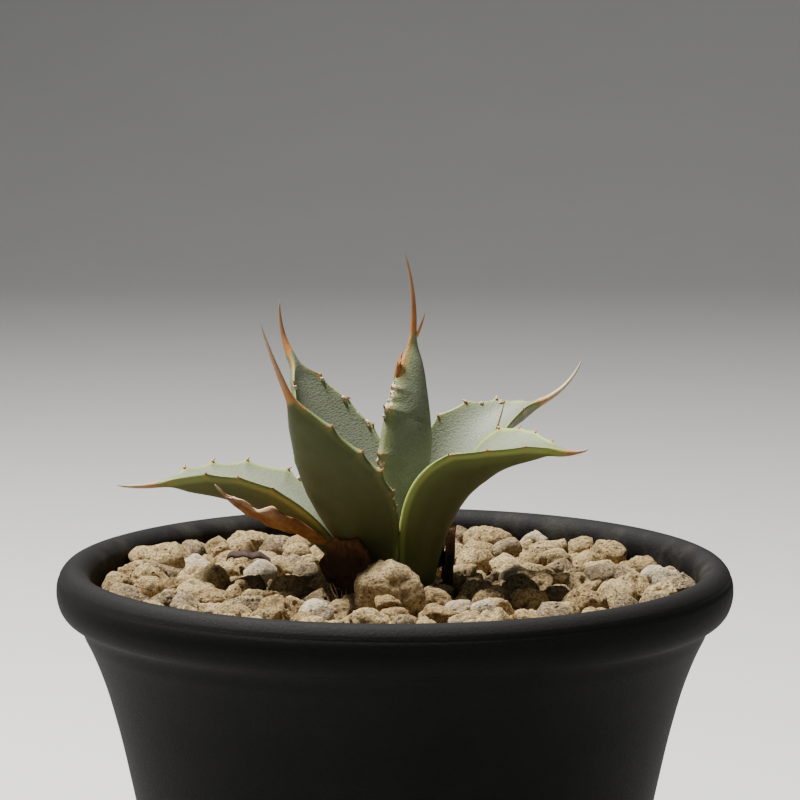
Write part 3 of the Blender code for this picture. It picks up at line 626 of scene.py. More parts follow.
def grow_tree(name, shape, numbers):
    """A Geometry Nodes tree that sets one shape on every point of a mesh.

    The points carry aim and hook, the shape's own Z and X, and size, its scale on X, Y and Z.
    """
    tree, given = geometry_tree(name, numbers)
    body = shape(tree, given)

    def stored(label, kind):
        node = tree.add("GeometryNodeInputNamedAttribute", {"Name": label}, data_type=kind)
        return node.outputs["Attribute"]

    turn = tree.add("FunctionNodeAxesToRotation", {"Primary Axis": stored("aim", "FLOAT_VECTOR"),
                                                   "Secondary Axis": stored("hook", "FLOAT_VECTOR")},
                    primary_axis="Z", secondary_axis="X").outputs[0]
    spots = tree.add("GeometryNodeMeshToPoints", {"Mesh": given["Geometry"]}).outputs[0]
    return set_copies(tree, given, {"Points": spots, "Instance": body, "Rotation": turn,
                                    "Scale": stored("size", "FLOAT_VECTOR")})


def tapered(tree, given, middle, end, steps, taper):
    """A bent tapering rod of length 1 along Z, with the mark reach along it."""
    line = tree.add("GeometryNodeCurveQuadraticBezier", {"Resolution": steps, "Start": (0, 0, 0),
                                                         "Middle": middle, "End": end}).outputs[0]
    along = tree.add("GeometryNodeSplineParameter").outputs["Factor"]
    left = tree.calc("POWER", tree.minus(1.0, along), taper)
    radius = tree.plus(tree.times(left, given["Root Radius"]), given["Point Radius"])
    line = tree.add("GeometryNodeStoreNamedAttribute", {"Geometry": line, "Name": "reach", "Value": along},
                    data_type="FLOAT", domain="POINT").outputs[0]
    ring = tree.add("GeometryNodeCurvePrimitiveCircle", {"Resolution": given["Sides"], "Radius": 1.0})
    solid = tree.add("GeometryNodeCurveToMesh", {"Curve": line, "Profile Curve": ring.outputs[0],
                                                 "Scale": radius, "Fill Caps": True})
    return solid.outputs[0]


def horn_shape(tree, given):
    return tapered(tree, given, (0.0, 0.0, 0.55), (0.42, 0.0, 1.0), 9, 0.75)


def fibre_shape(tree, given):
    return tapered(tree, given, (0.10, 0.0, 0.6), (0.55, 0.0, 1.0), 7, 0.4)


def crumb_shape(tree, given):
    """An uneven lump with a diameter of 1."""
    ball = tree.add("GeometryNodeMeshIcoSphere", {"Radius": 0.5, "Subdivisions": given["Detail"]}).outputs[0]
    place = tree.add("GeometryNodeInputPosition").outputs[0]
    uneven = tree.add("ShaderNodeTexNoise", {"Vector": place, "Scale": 3.2}).outputs["Color"]
    push = tree.add("ShaderNodeVectorMath", {0: uneven, 1: (-0.5, -0.5, -0.5)}).outputs[0]
    push = tree.add("ShaderNodeVectorMath", {0: push, "Scale": given["Roughness"]}, operation="SCALE")
    return tree.add("GeometryNodeSetPosition", {"Geometry": ball, "Offset": push.outputs[0]}).outputs[0]


HORNS = grow_tree("margin_horns", horn_shape, {
    "Root Radius": (NUMBER, 0.30), "Point Radius": (NUMBER, 0.03), "Sides": (COUNT, 10)})
FIBRES = grow_tree("loose_fibres", fibre_shape, {
    "Root Radius": (NUMBER, 0.02), "Point Radius": (NUMBER, 0.008), "Sides": (COUNT, 5)})
CRUMBS = grow_tree("cork_crumbs", crumb_shape, {"Roughness": (NUMBER, 0.8), "Detail": (COUNT, 3)})


def run_tree(group, mesh, material):
    """The plain mesh that a tree makes of a mesh."""
    holder = placed(mesh.name, mesh)
    modifier = holder.modifiers.new("grow", "NODES")
    modifier.node_group = group
    sockets = {item.name: item.identifier for item in group.interface.items_tree if item.in_out == "INPUT"}
    modifier[sockets["Material"]] = material
    bpy.context.view_layer.update()
    made = bpy.data.meshes.new_from_object(holder.evaluated_get(bpy.context.evaluated_depsgraph_get()))
    bpy.data.objects.remove(holder, do_unlink=True)
    return made


def grown(name, group, spots, material, marks=None):
    """The plain mesh that a tree grows on spots, each (place, aim, hook, size)."""
    seeds = bpy.data.meshes.new(name)
    seeds.from_pydata([tuple(spot[0]) for spot in spots], [], [])
    for label, column in (("aim", 1), ("hook", 2), ("size", 3)):
        data = seeds.attributes.new(label, "FLOAT_VECTOR", "POINT").data
        data.foreach_set("vector", np.array([tuple(spot[column]) for spot in spots], np.float32).ravel())
    mesh = run_tree(group, seeds, material)
    for label, value in (marks or {}).items():
        layer = mesh.attributes.get(label) or mesh.attributes.new(label, "FLOAT", "POINT")
        layer.data.foreach_set("value", np.full(len(mesh.vertices), value, np.float32))
    return mesh


def add_mesh(made, extra):
    """Join extra into a piece's mesh, keeping the marks of both."""
    work = bmesh.new()
    work.from_mesh(made.data)
    work.from_mesh(extra)
    work.to_mesh(made.data)
    work.free()
    made.data.shade_smooth()


# ---- Leaves

BLADE_STEP = 0.22 * MM
SPINE_STEP = 0.18 * MM
FACE_STEPS = 14                 # columns from margin to margin on each face
TOOTH_FOUND = 0.3 * MM          # a margin point that stands out further than this is a tooth
CUSP = 0.72                     # fleshy cusp under a tooth, by the tooth's length; horn stands on it
CUSP_RUN = 0.85 * MM
HORN_SUNK = 0.22                # how far a horn's root is sunk in its cusp, by the tooth's length
HORN_LENGTH = 0.55
SPINE_SLIM = 0.74               # the spine's root against the blade's last rings
SPINE_BLEND = 3.0 * MM
KNOB = 0.32 * MM                # height of the knobs on corky margins
DENT_WIDTH = 0.75 * MM
HORN_BLEND = 0.6 * MM
UNDER_MIDLINE = FACE_STEPS * 3 // 2     # its column
SPINE_FROM = 1.35               # a ring narrower than this, by its depth, is spine and not blade
CORK_REACH = 0.4                # how far cork spreads in from the margin, in mm
TOOTH_HORN_RUN = 0.30 * MM      # how far horn spreads along the margin from a tooth
SPIKE_LEAN = 0.24               # how far a spike on the back leans out
SPIKE_WIDTH = 0.7 * MM
STRAND_AIM, STRAND_HOOK = (0.36, -0.10, 1.0), (-1.0, 0.2, 0.0)
STRAND_WIDTH = 0.75 * MM
LEFT, RIGHT = 1, -1


def cad_rings(node):
    """The rings of a leaf from foot to point, as (rings, 12, 3): 0 the left margin, 3 the upper
    midline, 6 the right margin, 9 the under midline."""
    work = merged(node)
    pole = max(work.verts, key=lambda v: len(v.link_edges))
    beside = {v: [e.other_vert(v) for e in v.link_edges] for v in work.verts}
    ring = [beside[pole][0]]
    while len(ring) < len(beside[pole]):
        ways = [v for v in beside[ring[-1]] if v in beside[pole] and v not in ring]
        ring.append(ways[0])
    seen = {pole, *ring}
    rings = [ring]
    while True:
        ahead = [{w for w in beside[v] if w not in seen} for v in ring]
        if not all(ahead):
            break
        best = None
        for swing in (1, -1):
            option = [ahead[k] & ahead[(k + swing) % len(ring)] for k in range(len(ring))]
            if all(len(both) == 1 for both in option):
                option = [both.pop() for both in option]
                cost = sum((v.co - w.co).length for v, w in zip(ring, option))
                if best is None or cost < best[0]:
                    best = (cost, option)
        ring = best[1]
        seen.update(ring)
        rings.append(ring)
    found = np.array([[tuple(v.co) for v in ring] for ring in reversed(rings)])
    tip = np.array(pole.co)
    work.free()

    spans = np.linalg.norm(found - np.roll(found, 6, axis=1), axis=2)
    widest = int(np.argmax(spans.max(axis=1)[:len(found) * 2 // 3]))
    margin = int(np.argmax(spans[widest]))
    found = np.roll(found, -margin, axis=1)
    middle = (found[widest, 0] + found[widest, 6]) / 2
    if np.linalg.norm(found[widest, 3] - middle) > np.linalg.norm(found[widest, 9] - middle):
        found = np.roll(found[:, ::-1], 1, axis=1)
    way = found[widest + 1].mean(axis=0) - found[widest].mean(axis=0)
    upward = found[widest, 3] - found[widest, 9]
    left = np.cross(upward, way)
    if left @ (found[widest, 0] - found[widest, 6]) < 0:
        found = np.roll(found[:, ::-1], 7, axis=1)
    return np.concatenate([found, np.repeat(tip[None, None], 12, axis=1)])


def bare_margins(rings):
    """The rings without their teeth, and each tooth as (ring, side, its reach as a vector)."""
    bare = rings.copy()
    teeth = []
    for index, ring in enumerate(rings[:-1]):
        middle = (ring[1] + ring[5]) / 2
        centre = middle + (middle - ring[3]) / 3
        outward = unit(ring[1] - ring[5])
        half = (ring[1] - ring[5]) / (2 * math.cos(math.pi / 6))
        for column, side in ((0, LEFT), (6, RIGHT)):
            plain = centre + half * side
            stands = ring[column] - plain
            if float(stands @ outward) * side > TOOTH_FOUND:
                bare[index, column] = plain
                teeth.append((index, side, stands))
    return bare, teeth


class Grown:
    """A leaf worked out finely: points (stations, columns), and the numbers that go with them."""

    def __init__(self, node, smoothing=0, lift=0.0):
        rings, teeth = bare_margins(cad_rings(node))
        for _ in range(smoothing):
            rings[1:-2] = (rings[:-3] + 2 * rings[1:-2] + rings[2:-1]) / 4
        centres = (rings[:, 3] + rings[:, 9] + rings[:, 0] + rings[:, 6]) / 4
        stations = np.concatenate([[0], np.cumsum(np.linalg.norm(np.diff(centres, axis=0), axis=1))])
        width = np.linalg.norm(rings[:, 0] - rings[:, 6], axis=1)
        depth = np.maximum(np.linalg.norm(rings[:, 3] - rings[:, 9], axis=1), 1e-9)
        round_from = len(rings) // 2 + int(np.argmax((width / depth)[len(rings) // 2:] < SPINE_FROM))
        self.blade_end = stations[round_from]
        self.end = stations[-1]
        blade = np.linspace(0, self.blade_end, int(self.blade_end / BLADE_STEP) + 1)
        spine = np.linspace(self.blade_end, self.end, int((self.end - self.blade_end) / SPINE_STEP) + 2)[1:-1]
        self.wanted = np.concatenate([blade, spine])
        coarse = curve_through(rings, stations, self.wanted)
        slim = np.clip((self.wanted - self.blade_end) / SPINE_BLEND + 0.2, 0, 1)
        slim = 1 - (1 - SPINE_SLIM) * slim * slim * (3 - 2 * slim)
        core = coarse.mean(axis=1, keepdims=True)
        coarse = core + (coarse - core) * slim[:, None, None]
        fine = np.linspace(0, 6, FACE_STEPS + 1)
        columns = np.arange(7.0)
        upper = curve_through(coarse[:, :7].transpose(1, 0, 2), columns, fine)
        under = curve_through(coarse[:, [6, 7, 8, 9, 10, 11, 0]].transpose(1, 0, 2), columns, fine)
        self.points = np.concatenate([upper[:-1], under[:-1]]).transpose(1, 0, 2)
        self.tip = rings[-1, 0]
        self.left = coarse[:, 0]
        self.right = coarse[:, 6]
        self.outward = unit(self.left - self.right)
        self.along = unit(np.gradient((self.left + self.right) / 2, axis=0))
        self.upward = unit(np.cross(self.along, self.outward))
        self.run = np.clip(self.wanted / self.blade_end, 0, 1)
        self.spine = np.clip((self.wanted - self.blade_end) / (self.end - self.blade_end), 0, 1)
        half = FACE_STEPS
        column = np.arange(2 * half)
        face = np.where(column <= half, column, 2 * half - column) / half
        self.across = np.cos(np.pi * face)
        self.upper = ((column > 0) & (column < half)).astype(float)
        self.upper[[0, half]] = 0.5
        self.teeth = []
        for index, side, reach in teeth:
            turned = unit(unit(reach) + self.upward[self.index(stations[index])] * lift)
            self.teeth.append((stations[index], side, turned * np.linalg.norm(reach)))

    def margin(self, side):
        return self.left if side == LEFT else self.right

    def index(self, at):
        return int(np.argmin(np.abs(self.wanted - at)))


def tube_faces(rows, columns, tip):
    """Faces of a leaf: its rings, the fan at its point, and strips across its flat foot."""
    faces = []
    for row in range(rows - 1):
        for k in range(columns):
            near, beside = row * columns + k, row * columns + (k + 1) % columns
            faces.append((near, beside, beside + columns, near + columns))
    last = (rows - 1) * columns
    faces += [(last + k, last + (k + 1) % columns, tip) for k in range(columns)]
    for k in range(columns // 2):
        loop = (k, k + 1, (columns - k - 1) % columns, (columns - k) % columns)
        faces.append(tuple(dict.fromkeys(loop)))
    return faces


def edge_distance(leaf):
    """Millimetres in from the nearest margin, over the surface, for every point."""
    width = np.linalg.norm(leaf.left - leaf.right, axis=1)
    return (1 - np.abs(leaf.across))[None, :] * width[:, None] / 2 / MM


def swell_margins(leaf):
    """Raise the margin to a hollow-sided cusp under each tooth."""
    for at, side, reach in leaf.teeth:
        swell = np.exp(-np.abs(leaf.wanted - at) / CUSP_RUN) * CUSP
        near = np.clip((leaf.across * side - 0.55) / 0.45, 0, 1) ** 2
        leaf.points += (swell[:, None] * near[None, :])[..., None] * reach


def leaf_cork(leaf, cork):
    """How corky each point is: along the margins, from the (side, from, to, strength) stretches."""
    edge = edge_distance(leaf)
    amount = np.zeros_like(edge)
    for side, start, stop, strength in cork:
        along = np.clip((leaf.run - start) / 0.03, 0, 1) * np.clip((stop - leaf.run) / 0.03, 0, 1)
        on_side = (leaf.across * side > 0)[None, :]
        near = np.clip(1 - edge / CORK_REACH, 0, 1)
        amount = np.maximum(amount, strength * along[:, None] * on_side * near)
    return amount


def roughen_margins(leaf, cork, seed):
    """Small knobs on corky stretches of the margin."""
    middle = (leaf.left + leaf.right) / 2
    half_width = np.linalg.norm(leaf.left - leaf.right, axis=1) / 2
    for row, column in np.argwhere(cork > 0.05):
        point = leaf.points[row, column]
        knob = noise.noise(Vector(point) * 1500 + Vector((seed, 0, 0))) + 0.25
        outward = (point - middle[row]) / half_width[row]
        leaf.points[row, column] += outward * (cork[row, column] * KNOB * knob)


def tooth_spots(leaf, leans):
    """Where the horns of the margin stand: place, aim, hook and size."""
    spots = []
    for number, (at, side, reach) in enumerate(leaf.teeth):
        row = leaf.index(at)
        root = leaf.margin(side)[row] + reach * (CUSP - HORN_SUNK)
        lean = leans[number % len(leans)]
        aim = unit(unit(reach) + leaf.along[row] * lean * 0.45)
        hook = leaf.along[row] * (1 if lean > 0 else -1)
        spots.append((root, aim, hook, (np.linalg.norm(reach) * HORN_LENGTH,) * 3))
    return spots


def margin_spots(leaf, lumps):
    """Spots for lumps on a margin, each (side, share of the run, thickness and length in mm)."""
    spots = []
    for side, share, thick, long in lumps:
        row = leaf.index(share * leaf.blade_end)
        place = leaf.margin(side)[row] + leaf.outward[row] * side * thick * 0.05 * MM
        spots.append((place, leaf.along[row], leaf.upward[row], (thick * MM, thick * MM, long * MM)))
    return spots


class Looks(NamedTuple):
    """What time and weather did to a leaf. Shares are of the run from foot to tip."""
    bloom: float                # waxy bloom on the skin
    pale: float                 # how bleached its horn is
    line: float                 # strength of the yellow line along the margins
    horn_start: float           # where the spine turns to horn, past the blade's end, in steps of HORN_BLEND
    horn_from: tuple            # share of the run where horn starts down the left and the right margin
    lift: float                 # how far the teeth turn up out of the blade
    leans: tuple                # which way the teeth lean in turn, up the leaf or down
    cork: tuple = ()            # corky stretches of margin: (side, from, to, strength)
    crumbs: tuple = ()          # crumbs of cork: (side, share, thickness, length in mm)
    flaps: tuple = ()           # loose strips of horn: the same
    spikes: tuple = ()          # horns on the under side's midline: (share, length in mm)
    strands: tuple = ()         # dry threads that stand on a margin: (side, share, length in mm)
    dents: tuple = ()           # hollows in the under side: (share, column, depth in mm)


LEAF_LOOKS = {
    "leaf_left_low": Looks(0.5, 0.5, 0.45, 3.0, (0.98, 0.98), 1.3, (-0.6, -0.8, -0.4, 0.5),
                           ((RIGHT, 0.36, 0.48, 0.6),), ((RIGHT, 0.43, 0.5, 0.7),)),
    "leaf_left_front": Looks(0.35, 0.35, 0.15, 0.2, (0.94, 0.94), 0.4, (0.6, 0.9, 0.5),
                             ((LEFT, 0.3, 0.42, 0.5),), ((LEFT, 0.40, 0.5, 0.7), (LEFT, 0.36, 0.4, 0.5))),
    "leaf_left_back": Looks(0.75, 0.2, 0.3, -0.9, (0.88, 0.80), 0.5, (0.5, -0.6, 0.8),
                            ((RIGHT, 0.50, 0.80, 0.5),),
                            ((RIGHT, 0.83, 0.55, 0.6), (RIGHT, 0.70, 0.55, 1.1), (RIGHT, 0.55, 0.5, 1.2),
                             (LEFT, 0.80, 0.55, 0.7))),
    "leaf_centre": Looks(0.95, 0.1, 0.2, 2.6, (0.97, 0.80), 0.2, (0.7, 0.4, -0.5),
                         ((RIGHT, 0.60, 0.80, 0.7), (RIGHT, 0.28, 0.40, 0.8), (LEFT, 0.30, 0.60, 0.4)),
                         ((RIGHT, 0.59, 0.60, 0.6), (RIGHT, 0.67, 0.32, 1.0), (RIGHT, 0.71, 0.34, 0.9),
                          (RIGHT, 0.36, 0.55, 0.7), (RIGHT, 0.33, 0.45, 0.6), (RIGHT, 0.76, 0.32, 1.5)),
                         ((RIGHT, 0.85, 0.62, 4.2),), ((1.06, 3.4),), (), ((0.63, 19, 0.40),)),
    "leaf_right_back": Looks(0.8, 0.95, 0.35, 0.8, (0.97, 0.97), 0.7, (0.8, 0.5, -0.5),
                             ((LEFT, 0.80, 0.9, 0.5),),
                             ((LEFT, 0.88, 0.6, 1.0), (LEFT, 0.80, 0.5, 0.6)), (), (), ((RIGHT, 0.68, 6.5),)),
    "leaf_right_front": Looks(0.25, 0.3, 0.9, 0.4, (0.97, 0.97), 0.8, (0.6, -0.7, 0.4),
                              ((LEFT, 0.80, 0.9, 0.4),)),
}


def dent_back(leaf, dents):
    """Press dents into the leaf's back, each (share of the run, column, depth in mm)."""
    for share, column, depth in dents:
        away = np.linalg.norm(leaf.points - leaf.points[leaf.index(share * leaf.blade_end), column], axis=2)
        push = depth * MM * np.exp(-(away / DENT_WIDTH) ** 2) * (leaf.upper < 0.5)
        leaf.points += push[..., None] * leaf.upward[:, None]


def leaf_horn(leaf, looks, edge):
    """The share of horn at each point: the spine, down both margins, and at the teeth."""
    past = (leaf.wanted - leaf.blade_end) / HORN_BLEND - looks.horn_start
    horn = np.clip(past, 0, 1)[:, None] * np.ones(leaf.points.shape[1])
    for side, start in zip((LEFT, RIGHT), looks.horn_from):
        along = np.clip((leaf.run - start) / 0.05, 0, 1)[:, None]
        horn = np.maximum(horn, along * np.clip((leaf.across * side - 0.86) / 0.12, 0, 1) * 0.95)
    for at, side, _ in leaf.teeth:
        near = np.exp(-((leaf.wanted - at) / TOOTH_HORN_RUN) ** 2)[:, None]
        horn = np.maximum(horn, near * np.clip(1 - edge / 0.3, 0, 1) * (leaf.across * side > 0) * 0.6)
    return horn


def spike_spots(leaf, spikes):
    """Where spikes stand on the midline of the back, each (share of the run, length in mm)."""
    spots = []
    for share, length in spikes:
        row = leaf.index(share * leaf.blade_end)
        aim = unit(leaf.along[row] - SPIKE_LEAN * leaf.upward[row])
        size = (SPIKE_WIDTH, SPIKE_WIDTH, length * MM)
        spots.append((leaf.points[row, UNDER_MIDLINE], aim, leaf.along[row], size))
    return spots


def build_leaf(node):
    looks = LEAF_LOOKS[node]
    leaf = Grown(node, lift=looks.lift)
    swell_margins(leaf)
    dent_back(leaf, looks.dents)
    cork = leaf_cork(leaf, looks.cork)
    roughen_margins(leaf, cork, len(node))
    rows, columns = leaf.points.shape[:2]
    points = np.vstack([leaf.points.reshape(-1, 3), leaf.tip[None]])
    count = rows * columns

    def every(values):
        return np.append(np.broadcast_to(values, (rows, columns)).reshape(count), values.flat[-1])

    edge = edge_distance(leaf)
    made = piece(node + "_blade", points, tube_faces(rows, columns, count), AGAVE, [node], {
        "run": every(leaf.run[:, None]), "edge": every(edge), "upper": every(leaf.upper[None, :]),
        "horn": every(leaf_horn(leaf, looks, edge)), "cork": every(cork), "reach": every(leaf.spine[:, None]),
        "bloom": np.full(count + 1, looks.bloom), "pale": np.full(count + 1, looks.pale),
        "line": np.full(count + 1, looks.line)})
    blank = {"run": 0.5, "edge": 9.0, "upper": 1.0, "bloom": 0.0, "pale": looks.pale, "line": 0.0}
    horny = {**blank, "horn": 1.0, "cork": 0.0}
    corky = {**blank, "horn": 0.0, "cork": 1.0, "reach": 0.3}
    horns = tooth_spots(leaf, looks.leans) + spike_spots(leaf, looks.spikes)
    add_mesh(made, grown("teeth", HORNS, horns, AGAVE, horny))
    for side, share, length in looks.strands:
        root = leaf.margin(side)[leaf.index(share * leaf.blade_end)]
        strand = [(root, STRAND_AIM, STRAND_HOOK, (STRAND_WIDTH, STRAND_WIDTH, length * MM))]
        add_mesh(made, grown("strand", HORNS, strand, AGAVE, {**horny, "pale": 1.0}))
    for lumps, marks in ((looks.crumbs, corky), (looks.flaps, {**corky, "horn": 1.0, "cork": 0.0})):
        if lumps:
            add_mesh(made, grown("crumbs", CRUMBS, margin_spots(leaf, lumps), AGAVE, marks))


# ---- Stones

FACET_POWER = 40                # how crisp a stone's facets are
KNOB_SIZE = 1.15 * MM
KNOB_HEIGHT = 0.20 * MM
PIT_SIZE = 0.30 * MM
SMALLEST_FACET = 0.02 * MM * MM     # smaller faces of a CAD stone don't shape the finished one
BIG_STONE = 6.0 * MM            # a stone longer than this gets a finer mesh


def ball(detail, known={}):
    """Directions and faces of an icosphere, made once for each level of detail."""
    if detail not in known:
        work = bmesh.new()
        bmesh.ops.create_icosphere(work, subdivisions=detail, radius=1.0)
        known[detail] = (np.array([tuple(v.co) for v in work.verts]),
                         np.array([[v.index for v in f.verts] for f in work.faces]))
        work.free()
    return known[detail]


def faceted(directions, normals, distances):
    """How far a rounded block of planes reaches in each direction."""
    facing = np.maximum(directions @ normals.T, 1e-6) / distances
    return (facing ** FACET_POWER).sum(axis=1) ** (-1 / FACET_POWER)


def weathered(centre, shape, seed, pits):
    """A stone's points, from its smooth shape about the centre: knobs, grains and open pits.

    Beside the points it gives how deep each lies in a hollow, from 0 to 1.
    """
    draw = random.Random(seed)
    reach = np.linalg.norm(shape, axis=1)
    ways = shape / reach[:, None]
    shift = Vector((seed * 7.3 % 11, seed * 3.7 % 13, seed * 5.1 % 17))
    knobs = np.array([noise.fractal(Vector(p) / KNOB_SIZE + shift, 0.65, 2.2, 4) for p in shape])
    reach = reach + knobs * KNOB_HEIGHT
    hollow = np.zeros(len(reach))
    for _ in range(pits):
        way = unit(np.array([draw.gauss(0, 1) for _ in range(3)]))
        width = PIT_SIZE * draw.uniform(0.6, 1.7)
        away = np.linalg.norm(ways - way, axis=1) * reach
        pit = np.exp(-(away / width) ** 2)
        reach -= width * draw.uniform(0.5, 0.9) * pit
        hollow = np.maximum(hollow, pit)
    return centre + ways * reach[:, None], np.maximum(hollow, np.clip(-knobs * 1.2, 0, 0.6))


def cad_stone(node):
    """Centre and smooth shape of a CAD stone, as fine as its size needs."""
    work = merged(node)
    corners = np.array([tuple(v.co) for v in work.verts])
    low, high = corners.min(axis=0), corners.max(axis=0)
    centre = (low + high) / 2
    normals = np.array([tuple(f.normal) for f in work.faces])
    spots = np.array([tuple(f.calc_center_median()) for f in work.faces])
    areas = np.array([f.calc_area() for f in work.faces])
    work.free()
    kept = areas > SMALLEST_FACET
    normals, spots = normals[kept], spots[kept]
    distances = np.maximum(((spots - centre) * normals).sum(axis=1), 0.2 * MM)
    ways, faces = ball(4 if (high - low).max() > BIG_STONE else 3)
    shape = ways * faceted(ways, normals, distances)[:, None]
    fit = ((high - low) / 2) / np.abs(shape).max(axis=0)
    return centre, shape * np.minimum(fit, 1.15), faces


def stone_nodes():
    return sorted(node for node in NODES if node.startswith("pumice"))


def slot_of(node):
    return next(part["material_slot"] for part in frame["record"]["subparts"] if part["node"] == node)


def build_cad_stones():
    taken = []
    for index, node in enumerate(stone_nodes()):
        centre, shape, faces = cad_stone(node)
        size = np.abs(shape).max()
        pits = int(6 + 18 * (size / (3 * MM)) ** 2)
        points, hollow = weathered(centre, shape, index + 1, pits)
        tone = random.Random(index + 3).uniform(-0.1, 0.6)
        slot = slot_of(node)
        piece(node + "_stone", points, faces, PUMICE[slot], [node],
              {"tone": np.full(len(points), tone), "hollow": hollow})
        taken.append((*centre, (np.abs(shape).max(axis=0)[:2]).mean()))
    return taken


def plant_surface():
    """The leaves and dead leaf bases, to keep stones off them."""
    points, faces = [], []
    for node, made in NODES.items():
        if "leaf" in node or "sheath" in node:
            start = len(points)
            points += [v.co.copy() for v in made.data.vertices]
            faces += [[start + i for i in f.vertices] for f in made.data.polygons]
    return BVHTree.FromPolygons(points, faces)


STONE_SIZES = ((2.5, 1200), (2.15, 2500), (1.8, 4000), (1.45, 5000), (1.1, 5000))   # radius in mm, tries
STONE_CROWN = 4.6 * MM          # stones stay this far out from the plant's axis
PERCHED = 60                    # tries for stones that lie on the others
PERCHED_RADIUS = 1.3, 2.0       # in mm
PERCHED_LIFT = 2.1 * MM
LYING_HEIGHT = 0.55, 0.85       # of a stone's centre over the bed, by its radius
STONE_CLEAR = 0.90              # drawn smaller than the room taken, so that gaps stay between
STONE_APART, PERCHED_APART = 0.88, 0.74     # least distance between two, by their radii together
PLANT_APART = 0.72              # least distance from a leaf, by the stone's radius
FILLER_PLANES = 11
FILLER_STRETCH = (1.0, 1.3), (0.85, 1.05), (0.8, 1.0)
FILLER_SLOTS = {"pumice_tan": 0.74, "pumice_white": 0.05, "pumice_grey": 0.21}     # share of each


def filler_detail(centre, radius):
    """How fine a small stone's mesh is: finest for the largest ones in front."""
    if radius > 1.7 * MM and centre[1] < 8 * MM:
        return 4
    return 3 if radius > 1.3 * MM else 2


def filler_places(taken):
    """Where the smaller stones lie between the CAD stones: centre and radius."""
    draw = random.Random(5)
    plant = plant_surface()
    lying = [tuple(t) for t in taken]
    chosen = []

    def fits(centre, radius, closeness):
        near = np.array(lying)
        apart = np.linalg.norm(near[:, :3] - np.array(centre), axis=1)
        if (apart < (near[:, 3] + radius) * closeness).any():
            return False
        return plant.find_nearest(Vector(centre))[3] > radius * PLANT_APART

    def drop(radius, inner, outer, base, sunk, closeness):
        azimuth = draw.uniform(0, 2 * math.pi)
        out = math.sqrt(draw.uniform(inner ** 2, outer ** 2))
        centre = (out * math.cos(azimuth), out * math.sin(azimuth), base + radius * sunk())
        if fits(centre, radius, closeness):
            lying.append((*centre, radius))
            chosen.append((centre, radius))

    for radius, tries in STONE_SIZES:
        radius = radius * MM
        for _ in range(tries):
            drop(radius, STONE_CROWN, BED_REACH - radius * 0.9, BED_TOP,
                 lambda: draw.uniform(*LYING_HEIGHT), STONE_APART)
    for _ in range(PERCHED):
        radius = draw.uniform(*PERCHED_RADIUS) * MM
        drop(radius, STONE_CROWN + 2 * MM, BED_REACH - radius * 1.2, BED_TOP + PERCHED_LIFT,
             lambda: LYING_HEIGHT[0], PERCHED_APART)
    return chosen


def build_filler_stones(taken):
    """The stones between, gathered into a few pieces by colour and by side."""
    draw = random.Random(9)
    heaps = {}
    for index, (centre, radius) in enumerate(filler_places(taken)):
        ways, faces = ball(filler_detail(centre, radius))
        normals = unit(np.array([[draw.gauss(0, 1) for _ in range(3)] for _ in range(FILLER_PLANES)]))
        distances = np.array([draw.uniform(0.62, 1.0) for _ in range(FILLER_PLANES)])
        shape = ways * np.minimum(faceted(ways, normals, distances), 1.25)[:, None]
        stretch = np.array([draw.uniform(*limits) for limits in FILLER_STRETCH]) * radius
        spin = Matrix.Rotation(draw.uniform(0, 2 * math.pi), 3, "Z")
        turn = spin @ Matrix.Rotation(draw.gauss(0, 0.35), 3, "X")
        shape = shape * (stretch * STONE_CLEAR) @ np.array(turn).T
        pits = int(4 + 15 * (radius / (2.2 * MM)) ** 2)
        points, hollow = weathered(np.array(centre), shape, 100 + index, pits)
        slot = draw.choices(tuple(FILLER_SLOTS), FILLER_SLOTS.values())[0]
        side = "front" if centre[1] < 0 else "back"
        heap = heaps.setdefault((slot, side), ([], [], [], []))
        start = sum(len(p) for p in heap[0])
        heap[0].append(points)
        heap[1].append(faces + start)
        heap[2].append(np.full(len(points), draw.uniform(-0.25, 0.8)))
        heap[3].append(hollow)
    for (slot, side), (points, faces, tones, hollows) in heaps.items():
        piece(f"{slot}_gravel_{side}", np.vstack(points), np.vstack(faces), PUMICE[slot], (),
              {"tone": np.concatenate(tones), "hollow": np.concatenate(hollows)})


# ---- Grit between the stones

GRAIN_DENSITY = 1500000.0       # tries for each square metre, before spacing
GRAIN_INSET = 0.8 * MM          # how far the grains stay from the stem and the wall
GRAIN_LIFT = 0.10 * MM
GRAIN_SIDES = 96                # of the ring that they lie on


def grain_tree():
    """Small angular grains scattered over a surface."""
    tree, given = geometry_tree("scattered_grains", {
        "Spacing": (NUMBER, 0.85 * MM), "Smallest": (NUMBER, 0.45 * MM), "Largest": (NUMBER, 0.95 * MM),
        "Seed": (COUNT, 4)})
    spread = tree.add("GeometryNodeDistributePointsOnFaces",
                      {"Mesh": given["Geometry"], "Distance Min": given["Spacing"],
                       "Density Max": GRAIN_DENSITY, "Seed": given["Seed"]}, distribute_method="POISSON")
    grain = tree.add("GeometryNodeMeshUVSphere", {"Segments": 6, "Rings": 4, "Radius": 0.5}).outputs[0]
    spin = tree.add("FunctionNodeRandomValue", {0: (0, 0, 0), 1: (6.28, 6.28, 6.28), "Seed": given["Seed"]},
                    data_type="FLOAT_VECTOR").outputs[0]
    big = tree.add("FunctionNodeRandomValue", {2: given["Smallest"], 3: given["Largest"]}, data_type="FLOAT")
    flat = tree.add("FunctionNodeRandomValue", {0: (0.7, 0.7, 0.6), 1: (1.3, 1.1, 1.0), "Seed": 8},
                    data_type="FLOAT_VECTOR").outputs[0]
    scale = tree.add("ShaderNodeVectorMath", {0: flat, "Scale": big.outputs[1]}, operation="SCALE").outputs[0]
    return set_copies(tree, given, {"Points": spread.outputs[0], "Instance": grain, "Rotation": spin,
                                    "Scale": scale})


